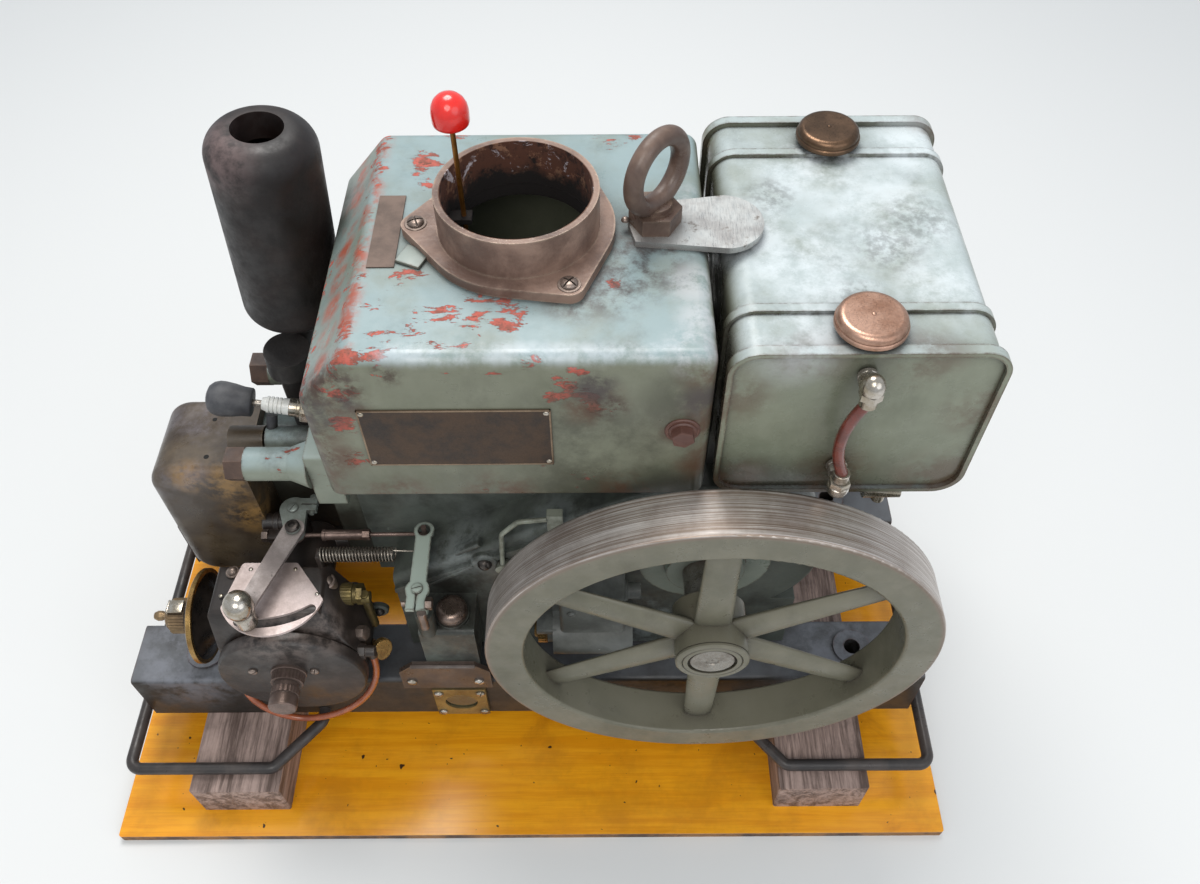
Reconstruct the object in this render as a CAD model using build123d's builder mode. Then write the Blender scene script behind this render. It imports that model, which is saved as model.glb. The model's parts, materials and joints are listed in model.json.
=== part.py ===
from build123d import *
import os
from math import atan2, cos, degrees, hypot, pi, radians, sin, tan

# A horizontal, hopper-cooled farm engine with two flywheels, bolted to a base frame that
# lies on two timber sleepers and a plywood carrying board.
# Millimetres. X runs along the cylinder from the head (-X) to the crank (+X), Y runs along
# the crankshaft, away from the governor side, and Z is up. The origin is the middle of the
# board's underside.

os.makedirs("parts", exist_ok=True)

# Clearances that several pieces share
PIVOT_FIT = 0.05
SLIDE_GAP = 0.3
HOLE_SPARE = 2

# Carrying gear
BOARD_LENGTH = 896
BOARD_WIDTH = 498
BOARD_THICK = 12
BOARD_CORNER_R = 3
SLEEPER_WIDTH = 95
SLEEPER_HEIGHT = 56
SLEEPER_LENGTH = 441
SLEEPER_INSET = 135
SLEEPER_CHAMFER = 1.5
HANDLE_ROD_R = 6.3
HANDLE_LIFT = 2
HANDLE_ROOT = 228
HANDLE_STEP = 14
HANDLE_REACH = 198
HANDLE_SLANT = 45
HANDLE_OVERHANG = 8
HANDLE_BEND_R = 12

# Base frame
RAIL_LENGTH = 836
RAIL_WIDTH = 68
RAIL_HEIGHT = 80
RAIL_SPREAD = 264
RAIL_FILLET = 5
BASE_BOLT_X = 345
BASE_BOLT_Y = 97
BASE_BOLT_R = 8.5
BASE_BOSS_R = 20
BASE_BOSS_HEIGHT = 3
SUMP_LEFT = -135
SUMP_RIGHT = 272

# Running gear
CRANK_X = 175
CRANK_HEIGHT = 171
SHAFT_R = 21
SHAFT_CHAMFER = 1.5
SHAFT_END = 6
FLYWHEEL_R = 200
RIM_WIDTH = 43.5
RIM_DEPTH = 34
RIM_FILLET = 3
WHEELS_OUTSIDE = 384
HUB_R = 33
HUB_LENGTH = 50
HUB_CHAMFER = 2
SPOKES = 6
SPOKE_WIDTH = 34
SPOKE_THICK = 15
SPOKE_TAPER = 1.2
PULLEY_R = 62
PULLEY_WIDTH = 62
PULLEY_CROWN = 1.5

# Crankcase and cylinder block
CASE_HALF = 88
CASE_LEFT = -125
CASE_WALL_TOP = 284
CASE_RIDGE_SLOPE = 30
CASE_NOSE_R = 111
CASE_ROOF_STEP = 2
CASE_FOOT = 92
CASE_EDGE_R = 6
CASE_RIB_DROP = 15
CASE_RIB_WIDTH = 7
CASE_RIB_OUT = 4
CASE_BORE_CLEAR = 2
BLOCK_LEFT = -150
BLOCK_RIGHT = 100
BLOCK_HALF = 46
BLOCK_BOTTOM = 235
BLOCK_FLANGE_HALF = 78
BLOCK_FLANGE_THICK = 9
BEARING_R = 62
BEARING_FLANGE = 6
BEARING_NOSE_R = 38
BEARING_LENGTH = 16
BEARING_TAPER = 8

# Governor housing and what sits on the near side of the crankcase
GOVERNOR_LEFT = -100
GOVERNOR_RIGHT = -46
GOVERNOR_BOTTOM = 186
GOVERNOR_TOP = 255
GOVERNOR_EDGE_R = 5
GOVERNOR_BOSS_R = 9
GOVERNOR_BOSS_TOP = 287
FILLER_AT = (-68, -112)
FILLER_R = 15.3
FILLER_NECK_R = 17
FILLER_NECK_HEIGHT = 4
FILLER_HEIGHT = 13
FILLER_DOME_R = 7
PLATE_LEFT = -130
PLATE_RIGHT = -37
PLATE_BOTTOM = 141
PLATE_HEIGHT = 52
PLATE_CORNER = 15
PLATE_DEPTH = 5
SIGHT_AT = (-74, 104)
SIGHT_WIDTH = 56
SIGHT_HEIGHT = 62
SIGHT_LENS_R = 17
SIGHT_DEPTH = 5
LENS_DEPTH = 3
MAGNETO_LEFT = 30
MAGNETO_LENGTH = 78
MAGNETO_Y = -113
MAGNETO_Z = 226
MAGNETO_R = 25
MAGNETO_FOOT = 44
MAGNETO_CAP_R = 13
MAGNETO_CAP_LENGTH = 9
COVER_BOX_X = 69
COVER_BOX_LENGTH = 62
COVER_BOX_WIDTH = 48
COVER_BOX_HEIGHT = 60
COVER_BOX_BOTTOM = 262
COVER_BOX_CORNER = 5

# Cooling hopper
HOPPER_LEFT = -135
HOPPER_RIGHT = 158
HOPPER_NEAR = -134
HOPPER_FAR = 122
HOPPER_BOTTOM = 492
HOPPER_TOP = 645
HOPPER_WALL = 7
SHOULDER_WIDTH = 38
SHOULDER_DROP = 44
HOPPER_EDGE_R = 11
COLLAR_X = 18.7
COLLAR_Y = -4
COLLAR_R = 59.7
COLLAR_WALL = 5
COLLAR_HEIGHT = 39.6
COLLAR_FLANGE = 8
COLLAR_FLANGE_R = 71
COLLAR_LUG_R = 11
COLLAR_LUG_REACH = 76
COLLAR_LUGS = 3
COLLAR_LUG_START = 60
GAUGE_AT = (-23, 8)
GAUGE_ROD_R = 2
GAUGE_TAB = 12
GAUGE_TAB_THICK = 4
GAUGE_TAB_DROP = 38
GAUGE_KNOB_LIFT = 36.4
GAUGE_KNOB_R = 17.5
GAUGE_KNOB_HEIGHT = 34
FLOAT_R = 22
FLOAT_HEIGHT = 26
FLOAT_LIFT = 20
NAME_PLATE_AT = (-26, 563)
NAME_PLATE_SIZE = (137, 63)
NAME_PLATE_THICK = 1.2
RULE_PLATE_AT = (-80, -3)
RULE_PLATE_SIZE = (20, 80)
RULE_PLATE_THICK = 1
DRAIN_PLUG_AT = (137, 570)
DRAIN_WASHER_R = 14
DRAIN_WASHER_THICK = 3
DRAIN_HEX_R = 11
DRAIN_HEX_HEIGHT = 8

# Lifting eye and tank strap
EYE_X = 119
EYE_RING_R = 26.5
EYE_ROD_R = 7.2
EYE_TURN = -49
EYE_HEX_R = 17
EYE_HEX_HEIGHT = 14
EYE_SHANK_R = 12
EYE_LIFT = 45
STRAP_THICK = 5
STRAP_HALF = 30
STRAP_REACH = 200
STRAP_WAIST = 20
STRAP_NOSE = 22
STRAP_SHOULDER = 172

# Fuel tank
TANK_LEFT = 164.7
TANK_RIGHT = 358.9
TANK_NEAR = -130
TANK_FAR = 138
TANK_BOTTOM = 485.5
TANK_CORNER_R = 22
TANK_LIP = 4
TANK_END_DEPTH = 9
TANK_END_SUNK = 4
TANK_BEAD_IN = 46
TANK_BEAD_R = 3
TANK_BEAD_WIDTH = 8
TANK_WALL = 3
TANK_CAP_R = 24.5
TANK_CAP_HEIGHT = 11
TANK_CAP_EDGE_R = 5
TANK_CAP_X = 262
TANK_CAP_Y = 105
TANK_NECK_R = 13.5
TANK_NECK_WALL = 2.5
TANK_NECK_HEIGHT = 6
BRACKET_X = 200
BRACKET_FOOT = 60
BRACKET_SHELF = 120
BRACKET_HALF = 60
BRACKET_THICK = 6
GAUGE_TOP_AT = (261, 622)
GAUGE_BOTTOM_AT = (258, 519)
GAUGE_SPIGOT_R = 5
GAUGE_BARREL_R = 8
GAUGE_BARREL_HALF = 9
GAUGE_STAND_OFF = 14
GAUGE_TUBE_R = 4.5
GAUGE_TUBE_BOW = 8
GAUGE_TUBE_GAP = 2
COCK_AT = (306, -112)
COCK_PIPE_R = 5.5
COCK_DROP = 34
COCK_COLLAR_R = 9
COCK_BARREL_R = 8
COCK_BARREL_LENGTH = 30
COCK_BARREL_DROP = 20

# Cylinder head
HEAD_LEFT = -176
HEAD_HALF = 71
HEAD_BOTTOM = 240
HEAD_TOP = 455
HEAD_STEP = 385
HEAD_STEP_HALF = 42
HEAD_EDGE_R = 4
HEAD_BOSS_Z = 428
HEAD_BOSS_Y = 56
HEAD_BOSS_R = 15
HEAD_BOSS_END = -233
HEAD_BOSS_ROOT_R = 22
HEAD_BOSS_ROOT = 18
HEX_AF = 28
HEX_LENGTH = 16
VALVE_BOSS_Y = -12
VALVE_BOSS_Z = 407
VALVE_BOSS_R = 13
VALVE_BOSS_END = -228
PEDESTAL_Y = 18
PEDESTAL_WIDTH = 46
PEDESTAL_TOP = 388
COVER_LEFT = -340
COVER_RIGHT = -246
COVER_HALF = 46
COVER_BOTTOM = 228
COVER_TOP = 400
COVER_CORNER_R = 26
COVER_EDGE_R = 12
COVER_HUMP_LEFT = -262
COVER_HUMP_RIGHT = -230
PLUG_Z = 433
PLUG_TILT = 12
PLUG_SEAT = 6
PLUG_SEAT_R = 13
PLUG_HEX_R = 10.5
PLUG_HEX_LENGTH = 12
PLUG_BODY_R = 8
PLUG_BODY_LENGTH = 34
PLUG_TIP_R = 3
PLUG_TIP_LENGTH = 8
PLUG_CAP_R = 16
PLUG_CAP_LENGTH = 40
PLUG_CAP_DOME = 13

# Exhaust
MUFFLER_R = 43.5
MUFFLER_WALL = 3
MUFFLER_END = 12
MUFFLER_LENGTH = 185.5
MUFFLER_X = -193
MUFFLER_Y = 64
MUFFLER_Z = 504
MUFFLER_LEAN = 4.5
MUFFLER_TOP_R = 22
MUFFLER_FOOT_R = 14
OUTLET_R = 20
OUTLET_DEPTH = 24
NECK_R = 13
NECK_LENGTH = 26
ELBOW_AT = (-201, 27, 463)
ELBOW_CAP_R = 20
ELBOW_CAP_LENGTH = 24
ELBOW_CAP_AXIS = (0.08, -0.05, 1)
ELBOW_BEND_SPARE = 0.5

# Carburettor and its hose, whose bends take this share of each run between corners
DRUM_X = -222
DRUM_Z = 226
DRUM_R = 72
DRUM_NEAR = -165
DRUM_FAR = -88
DRUM_SHOULDER_R = 26
DRUM_EDGE_R = 5
PLATE_TOP = 314
PLATE_THICK = 3
PLATE_CORNER_R = 4
PLATE_BACK_LEFT = 40
PLATE_BACK_RIGHT = 12
PLATE_SIDE = 20
PLATE_SIDE_BACK = 14
PLATE_RIM = 10
THROAT_R = 24
THROAT_X = -212
THROAT_Z = 268
INTAKE_R = 12
INTAKE_Y = -32
ARM_BOSS_R = 10
HORN_R = 47
HORN_Y = -96
HORN_THROAT = 20
HORN_LENGTH = 30
HORN_LIP = 4
HORN_SEAT = 62
HORN_NECK = 8
HORN_FLARE = 20
HORN_FLARE_R = 31
CHOKE_DISC_R = 22
CHOKE_DISC_THICK = 13
CHOKE_KNOB_R = 18
CHOKE_KNOB_LENGTH = 22
CHOKE_TIP_R = 5
CHOKE_TIP_LENGTH = 15
BOWL_NUT_Z = 240
BOWL_NUT_R = 17
BOWL_NUT_LENGTH = 12
BOWL_SCREW_R = 13
BOWL_SCREW_LENGTH = 26
SIDE_KNOB_AT = (-120, 219)
SIDE_KNOB_R = 12
SIDE_KNOB_LENGTH = 10
SIDE_STEM_R = 4
FILTER_X = -174
FILTER_R = 11
FILTER_LENGTH = 44
FILTER_Z = 239
HOSE_R = 3.5
HOSE_BEND_SHARE = 0.45
HOSE_FITTING_R = 4.6

# Speed control linkage, seen from above: the throttle shaft, the pin that joins arm, hand
# lever and link rod, the knob on the hand lever, the rod's far eye and the governor shaft
ARM_SHAFT = (-219, -38)
ARM_PIN = (-213.5, -63.5)
KNOB_AT = (-244, -151)
ROD_EYE = (-90.5, -62.5)
GOVERNOR_SHAFT = (-90.5, -126.5)
ARM_SWING = 58
LEVER_RATIO = -0.65
ARM_BOTTOM = 326
ARM_THICK = 6
ARM_HUB_R = 13
ARM_EYE_R = 9
ARM_SHAFT_R = 5
ARM_SHAFT_DEPTH = 22
ARM_SHAFT_PROUD = 1.5
ARM_CLAMP_LENGTH = 18
ARM_CLAMP_WIDTH = 14
PIN_R = 4
PIN_HEAD_R = 7
PIN_HEAD = 3
CLAMP_SPLIT = 1.6
LEVER_THICK = 3.5
LEVER_WIDTH = 16
LEVER_EYE_R = 10.5
KNOB_R = 13
KNOB_NECK_R = 9
KNOB_HEIGHT = 32
STUD_R = 3.4
SLOT_WIDTH = 10
SLOT_SPARE = 9
ROD_R = 2
ROD_EYE_OUTER_R = 8
ROD_THICK = 4
ROD_TIP_R = 2.5
TURNBUCKLE_R = 5
TURNBUCKLE_FROM = 28
TURNBUCKLE_LENGTH = 36
GOVERNOR_ARM_WIDTH = 15
GOVERNOR_ARM_THICK = 4
GOVERNOR_EYE_R = 9.5
GOVERNOR_EYE_HOLE_R = 6
GOVERNOR_HUB_R = 11
GOVERNOR_CLAMP_BACK = 12
GOVERNOR_CLAMP_SIZE = 18
GOVERNOR_SHAFT_R = 5
GOVERNOR_SHAFT_DEPTH = 66
SPRING_LEFT = -186
SPRING_Y = -86
SPRING_Z = 322
SPRING_LENGTH = 60
SPRING_R = 5.5
SPRING_WIRE_R = 1.2
SPRING_LUG_THICK = 4
SPRING_LUG_DEPTH = 22

# Oil pipe on the near side of the crankcase
OIL_PIPE_R = 2.3
OIL_PIPE_GAP = 7
OIL_PIPE_BEND_R = 10
OIL_PIPE_POINTS = [(30, 396), (4, 392), (-12, 372), (-15, 318)]
OIL_BRACKET_AT = (37, 384)
OIL_BRACKET_WIDTH = 14
OIL_BRACKET_HEIGHT = 36
OIL_BRACKET_THICK = 8
OIL_FITTING_R = 7
OIL_FITTING_LENGTH = 10

# Levels and faces that follow from the sizes above
board_top = BOARD_THICK
sleeper_top = board_top + SLEEPER_HEIGHT
rail_top = sleeper_top + RAIL_HEIGHT
crank_z = rail_top + CRANK_HEIGHT
sleeper_x = BOARD_LENGTH / 2 - SLEEPER_INSET
rail_y = RAIL_SPREAD / 2 - RAIL_WIDTH / 2
rail_near = -RAIL_SPREAD / 2
wheel_near = -WHEELS_OUTSIDE / 2
case_top = crank_z + CASE_NOSE_R
roof_top = case_top - CASE_ROOF_STEP
shaft_near = wheel_near - 1
shaft_far = -wheel_near + PULLEY_WIDTH + SHAFT_END

# Plywood board
with BuildPart() as plywood_board:
    with BuildSketch(Plane.XY):
        RectangleRounded(BOARD_LENGTH, BOARD_WIDTH, BOARD_CORNER_R)
    extrude(amount=BOARD_THICK)
plywood_board.part.label = "plywood_board"
export_step(plywood_board.part, "parts/plywood_board.step")

# Sleepers
for side, way in (("left", -1), ("right", 1)):
    with BuildPart() as sleeper:
        with BuildSketch(Plane.XY.offset(board_top)):
            with Locations((way * sleeper_x, 0)):
                Rectangle(SLEEPER_WIDTH, SLEEPER_LENGTH)
        extrude(amount=SLEEPER_HEIGHT)
        chamfer(sleeper.edges().filter_by(Axis.Z), SLEEPER_CHAMFER)
    sleeper.part.label = f"sleeper_{side}"
    export_step(sleeper.part, f"parts/sleeper_{side}.step")

# Base frame: two rails joined by the sump
with BuildPart() as base_frame:
    with BuildSketch(Plane.XY.offset(sleeper_top)):
        with Locations((0, -rail_y), (0, rail_y)):
            Rectangle(RAIL_LENGTH, RAIL_WIDTH)
        with Locations(((SUMP_LEFT + SUMP_RIGHT) / 2, 0)):
            Rectangle(SUMP_RIGHT - SUMP_LEFT, 2 * rail_y)
    extrude(amount=RAIL_HEIGHT)
    fillet(base_frame.edges().filter_by(Axis.X).group_by(Axis.Z)[-1], RAIL_FILLET)
    with BuildSketch(Plane.XY.offset(rail_top)):
        with GridLocations(2 * BASE_BOLT_X, 2 * BASE_BOLT_Y, 2, 2):
            Circle(BASE_BOSS_R)
    extrude(amount=BASE_BOSS_HEIGHT)
    with Locations((0, 0, rail_top + BASE_BOSS_HEIGHT)):
        with GridLocations(2 * BASE_BOLT_X, 2 * BASE_BOLT_Y, 2, 2):
            Hole(BASE_BOLT_R)
base_frame.part.label = "base_frame"
export_step(base_frame.part, "parts/base_frame.step")

# Carrying handles: bent rods that run round the ends of the frame above the sleepers
handle_z = sleeper_top + HANDLE_LIFT + HANDLE_ROD_R
handle_start = rail_near - SLIDE_GAP
handle_end = RAIL_LENGTH / 2 + HANDLE_OVERHANG
handle_route = [(HANDLE_ROOT, handle_start), (HANDLE_ROOT, rail_near - HANDLE_STEP),
                (HANDLE_ROOT + HANDLE_SLANT, -HANDLE_REACH), (handle_end, -HANDLE_REACH)]
for side, way in (("left", -1), ("right", 1)):
    route = [(way * x, y) for x, y in handle_route]
    corners = route + [(x, -y) for x, y in reversed(route)]
    with BuildPart() as handle:
        with BuildLine(Plane.XY.offset(handle_z)) as rod_line:
            FilletPolyline(*corners, radius=HANDLE_BEND_R)
        with BuildSketch(Plane(origin=(*corners[0], handle_z), z_dir=(0, -1, 0))):
            Circle(HANDLE_ROD_R)
        sweep()
    handle.part.label = f"handle_{side}"
    export_step(handle.part, f"parts/handle_{side}.step")

# Crankcase with the cylinder block: a sloping roof up to a round nose about the crank, a foot
# on the sump, a raised rib along each side, and the block with its flange under the hopper
ridge_tan = tan(radians(CASE_RIDGE_SLOPE))
ridge_end = CASE_LEFT + (roof_top - CASE_WALL_TOP) / ridge_tan
rib_low = CASE_WALL_TOP - CASE_RIB_DROP
rib_high = roof_top - CASE_RIB_DROP
with BuildPart() as crankcase:
    with BuildSketch(Plane.XZ.offset(-CASE_HALF)):
        with BuildLine():
            Polyline((CRANK_X, rail_top), (CASE_LEFT, rail_top), (CASE_LEFT, CASE_WALL_TOP),
                     (ridge_end, roof_top), (CRANK_X, roof_top), close=True)
        make_face()
    extrude(amount=2 * CASE_HALF)
    sides = crankcase.faces().filter_by(Axis.Y)
    roof_edges = [edge for edge in sides.edges() if edge.center().Z > CASE_WALL_TOP + 1]
    fillet(roof_edges, CASE_EDGE_R)
    with BuildSketch(Plane.XY.offset(crank_z)):
        with Locations((CRANK_X + CASE_NOSE_R / 2, 0)):
            Rectangle(CASE_NOSE_R, 2 * CASE_HALF)
        fillet(vertices().group_by(Axis.X)[-1], CASE_EDGE_R)
    revolve(axis=Axis((CRANK_X, 0, crank_z), (0, 1, 0)))
    with BuildSketch(Plane.XY.offset(rail_top)):
        with Locations(((CRANK_X + SUMP_RIGHT) / 2, 0)):
            Rectangle(SUMP_RIGHT - CRANK_X, 2 * CASE_HALF)
    extrude(amount=CASE_FOOT)
    for way in (-1, 1):
        with BuildSketch(Plane.XZ.offset(-way * CASE_HALF)):
            with BuildLine():
                Polyline((CASE_LEFT, rib_low), (ridge_end, rib_high), (ridge_end, rib_high - CASE_RIB_WIDTH),
                         (CASE_LEFT, rib_low - CASE_RIB_WIDTH), close=True)
            make_face()
        extrude(amount=-way * CASE_RIB_OUT)
    with BuildSketch(Plane.XZ.offset(-BLOCK_HALF)):
        with Locations(((BLOCK_LEFT + BLOCK_RIGHT) / 2, (BLOCK_BOTTOM + HOPPER_BOTTOM) / 2)):
            Rectangle(BLOCK_RIGHT - BLOCK_LEFT, HOPPER_BOTTOM - BLOCK_BOTTOM)
    extrude(amount=2 * BLOCK_HALF)
    with BuildSketch(Plane.XY.offset(HOPPER_BOTTOM)):
        with Locations(((HOPPER_LEFT + BLOCK_RIGHT) / 2, 0)):
            Rectangle(BLOCK_RIGHT - HOPPER_LEFT, 2 * BLOCK_FLANGE_HALF)
    extrude(amount=-BLOCK_FLANGE_THICK)
    with Locations(Plane(origin=(CRANK_X, 0, crank_z), z_dir=(0, 1, 0))):
        Cylinder(SHAFT_R + CASE_BORE_CLEAR, 4 * CASE_HALF, mode=Mode.SUBTRACT)
crankcase.part.label = "crankcase"
export_step(crankcase.part, "parts/crankcase.step")

# Bearing housings: a bolted flange and a short nose round the shaft
for side, way in (("near", -1), ("far", 1)):
    with BuildPart() as bearing:
        with BuildSketch(Plane(origin=(CRANK_X, way * CASE_HALF, crank_z), z_dir=(0, way, 0))):
            Circle(BEARING_R)
        extrude(amount=BEARING_FLANGE)
        nose_at = way * (CASE_HALF + BEARING_FLANGE)
        with BuildSketch(Plane(origin=(CRANK_X, nose_at, crank_z), z_dir=(0, way, 0))):
            Circle(BEARING_NOSE_R)
        extrude(amount=BEARING_LENGTH - BEARING_FLANGE, taper=BEARING_TAPER)
        with Locations(Plane(origin=(CRANK_X, way * CASE_HALF, crank_z), z_dir=(0, way, 0))):
            Cylinder(SHAFT_R + PIVOT_FIT, 4 * BEARING_LENGTH, mode=Mode.SUBTRACT)
    bearing.part.label = f"bearing_housing_{side}"
    export_step(bearing.part, f"parts/bearing_housing_{side}.step")

# Governor housing on the near side, with the governor shaft's boss and the filler's neck
with BuildPart() as governor_housing:
    with BuildSketch(Plane.XY.offset(GOVERNOR_BOTTOM)):
        with Locations(((GOVERNOR_LEFT + GOVERNOR_RIGHT) / 2, (rail_near - CASE_HALF) / 2)):
            Rectangle(GOVERNOR_RIGHT - GOVERNOR_LEFT, -rail_near - CASE_HALF)
    extrude(amount=GOVERNOR_TOP - GOVERNOR_BOTTOM)
    fillet(governor_housing.edges().filter_by(Axis.X).group_by(Axis.Z)[-1].sort_by(Axis.Y)[0], GOVERNOR_EDGE_R)
    with BuildSketch(Plane.XY.offset(GOVERNOR_TOP)):
        with Locations(FILLER_AT):
            Circle(FILLER_NECK_R)
    extrude(amount=FILLER_NECK_HEIGHT)
    with BuildSketch(Plane.XY.offset(GOVERNOR_TOP - GOVERNOR_EDGE_R)):
        with Locations(GOVERNOR_SHAFT):
            Circle(GOVERNOR_BOSS_R)
    extrude(amount=GOVERNOR_BOSS_TOP - GOVERNOR_TOP + GOVERNOR_EDGE_R)
    with Locations((*GOVERNOR_SHAFT, GOVERNOR_BOSS_TOP)):
        Hole(GOVERNOR_SHAFT_R + PIVOT_FIT, depth=GOVERNOR_SHAFT_DEPTH - ARM_BOTTOM + GOVERNOR_BOSS_TOP + 1)
governor_housing.part.label = "governor_housing"
export_step(governor_housing.part, "parts/governor_housing.step")

# Oil filler plug on its neck
with BuildPart() as oil_filler_plug:
    with BuildSketch(Plane.XY.offset(GOVERNOR_TOP + FILLER_NECK_HEIGHT)):
        with Locations(FILLER_AT):
            Circle(FILLER_R)
    extrude(amount=FILLER_HEIGHT)
    fillet(oil_filler_plug.faces().sort_by(Axis.Z)[-1].edges(), FILLER_DOME_R)
oil_filler_plug.part.label = "oil_filler_plug"
export_step(oil_filler_plug.part, "parts/oil_filler_plug.step")

# Inspection plate with its corners cut off, then the oil sight, on the near side of the sump
with BuildPart() as inspection_plate:
    with BuildSketch(Plane.XZ.offset(-rail_near)):
        with Locations(((PLATE_LEFT + PLATE_RIGHT) / 2, PLATE_BOTTOM + PLATE_HEIGHT / 2)):
            Rectangle(PLATE_RIGHT - PLATE_LEFT, PLATE_HEIGHT)
        chamfer(vertices().group_by(Axis.Y)[-1], PLATE_CORNER)
    extrude(amount=PLATE_DEPTH)
inspection_plate.part.label = "inspection_plate"
export_step(inspection_plate.part, "parts/inspection_plate.step")

with BuildPart() as oil_sight_flange:
    with BuildSketch(Plane.XZ.offset(-rail_near)):
        with Locations(SIGHT_AT):
            Rectangle(SIGHT_WIDTH, SIGHT_HEIGHT)
            Circle(SIGHT_LENS_R + SLIDE_GAP, mode=Mode.SUBTRACT)
    extrude(amount=SIGHT_DEPTH)
oil_sight_flange.part.label = "oil_sight_flange"
export_step(oil_sight_flange.part, "parts/oil_sight_flange.step")

with BuildPart() as oil_sight_lens:
    with BuildSketch(Plane.XZ.offset(-rail_near)):
        with Locations(SIGHT_AT):
            Circle(SIGHT_LENS_R)
    extrude(amount=LENS_DEPTH)
oil_sight_lens.part.label = "oil_sight_lens"
export_step(oil_sight_lens.part, "parts/oil_sight_lens.step")

# Crankshaft
with BuildPart() as crankshaft:
    with BuildSketch(Plane(origin=(CRANK_X, shaft_near, crank_z), z_dir=(0, 1, 0))):
        Circle(SHAFT_R)
    extrude(amount=shaft_far - shaft_near)
    chamfer(crankshaft.edges().filter_by(GeomType.CIRCLE), SHAFT_CHAMFER)
crankshaft.part.label = "crankshaft"
export_step(crankshaft.part, "parts/crankshaft.step")

# Flywheels: rim, six tapered oval spokes and hub, keyed to the shaft
rim_inner = FLYWHEEL_R - RIM_DEPTH
spoke_root = HUB_R - SPOKE_WIDTH / 2
for side, way in (("near", -1), ("far", 1)):
    outer = way * -wheel_near
    spoke_y = outer - way * RIM_WIDTH / 2
    wheel_plane = Plane(origin=(CRANK_X, outer, crank_z), x_dir=(1, 0, 0), z_dir=(0, -way, 0))
    with BuildPart() as flywheel:
        with BuildSketch(wheel_plane):
            Circle(FLYWHEEL_R)
            Circle(rim_inner, mode=Mode.SUBTRACT)
        extrude(amount=RIM_WIDTH)
        fillet(flywheel.edges().filter_by(GeomType.CIRCLE), RIM_FILLET)
        with BuildSketch(wheel_plane):
            Circle(HUB_R)
        extrude(amount=HUB_LENGTH)
        for spoke in range(SPOKES):
            turn = radians((spoke + 0.5) * 360 / SPOKES)
            direction = Vector(cos(turn), 0, sin(turn))
            start = Vector(CRANK_X, spoke_y, crank_z) + direction * spoke_root
            with BuildSketch(Plane(origin=start, x_dir=(0, 1, 0), z_dir=direction)):
                Ellipse(SPOKE_THICK / 2, SPOKE_WIDTH / 2)
            extrude(amount=rim_inner + RIM_FILLET - spoke_root, taper=SPOKE_TAPER)
        with Locations(Plane(origin=(CRANK_X, outer, crank_z), z_dir=(0, 1, 0))):
            Cylinder(SHAFT_R, 4 * HUB_LENGTH, mode=Mode.SUBTRACT)
    flywheel.part.label = f"flywheel_{side}"
    export_step(flywheel.part, f"parts/flywheel_{side}.step")

# Flat-belt pulley with a crowned face on the far shaft end
with BuildPart() as belt_pulley:
    with BuildSketch(Plane.XY):
        with BuildLine():
            Polyline((PULLEY_R, 0), (SHAFT_R, 0), (SHAFT_R, PULLEY_WIDTH), (PULLEY_R, PULLEY_WIDTH))
            ThreePointArc((PULLEY_R, PULLEY_WIDTH), (PULLEY_R + PULLEY_CROWN, PULLEY_WIDTH / 2), (PULLEY_R, 0))
        make_face()
    revolve(axis=Axis.Y)
belt_pulley.part.position = (CRANK_X, -wheel_near, crank_z)
belt_pulley.part.label = "belt_pulley"
export_step(belt_pulley.part, "parts/belt_pulley.step")

# Magneto: a round body on a foot, with an end cap, and its square cover above
with BuildPart() as magneto_body:
    with BuildSketch(Plane.YZ.offset(MAGNETO_LEFT)):
        with Locations((MAGNETO_Y, MAGNETO_Z)):
            Circle(MAGNETO_R)
        with Locations(((MAGNETO_Y - CASE_HALF) / 2, COVER_BOX_BOTTOM - MAGNETO_FOOT / 2)):
            Rectangle(-MAGNETO_Y - CASE_HALF, MAGNETO_FOOT)
    extrude(amount=MAGNETO_LENGTH)
    with BuildSketch(Plane.YZ.offset(MAGNETO_LEFT)):
        with Locations((MAGNETO_Y, MAGNETO_Z)):
            Circle(MAGNETO_CAP_R)
    extrude(amount=-MAGNETO_CAP_LENGTH)
magneto_body.part.label = "magneto_body"
export_step(magneto_body.part, "parts/magneto_body.step")

with BuildPart() as magneto_cover:
    with BuildSketch(Plane.XY.offset(COVER_BOX_BOTTOM)):
        with Locations((COVER_BOX_X, -CASE_HALF - SLIDE_GAP - COVER_BOX_WIDTH / 2)):
            RectangleRounded(COVER_BOX_LENGTH, COVER_BOX_WIDTH, COVER_BOX_CORNER)
    extrude(amount=COVER_BOX_HEIGHT)
    fillet(magneto_cover.faces().sort_by(Axis.Z)[-1].edges(), COVER_BOX_CORNER - 1)
magneto_cover.part.label = "magneto_cover"
export_step(magneto_cover.part, "parts/magneto_cover.step")

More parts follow.
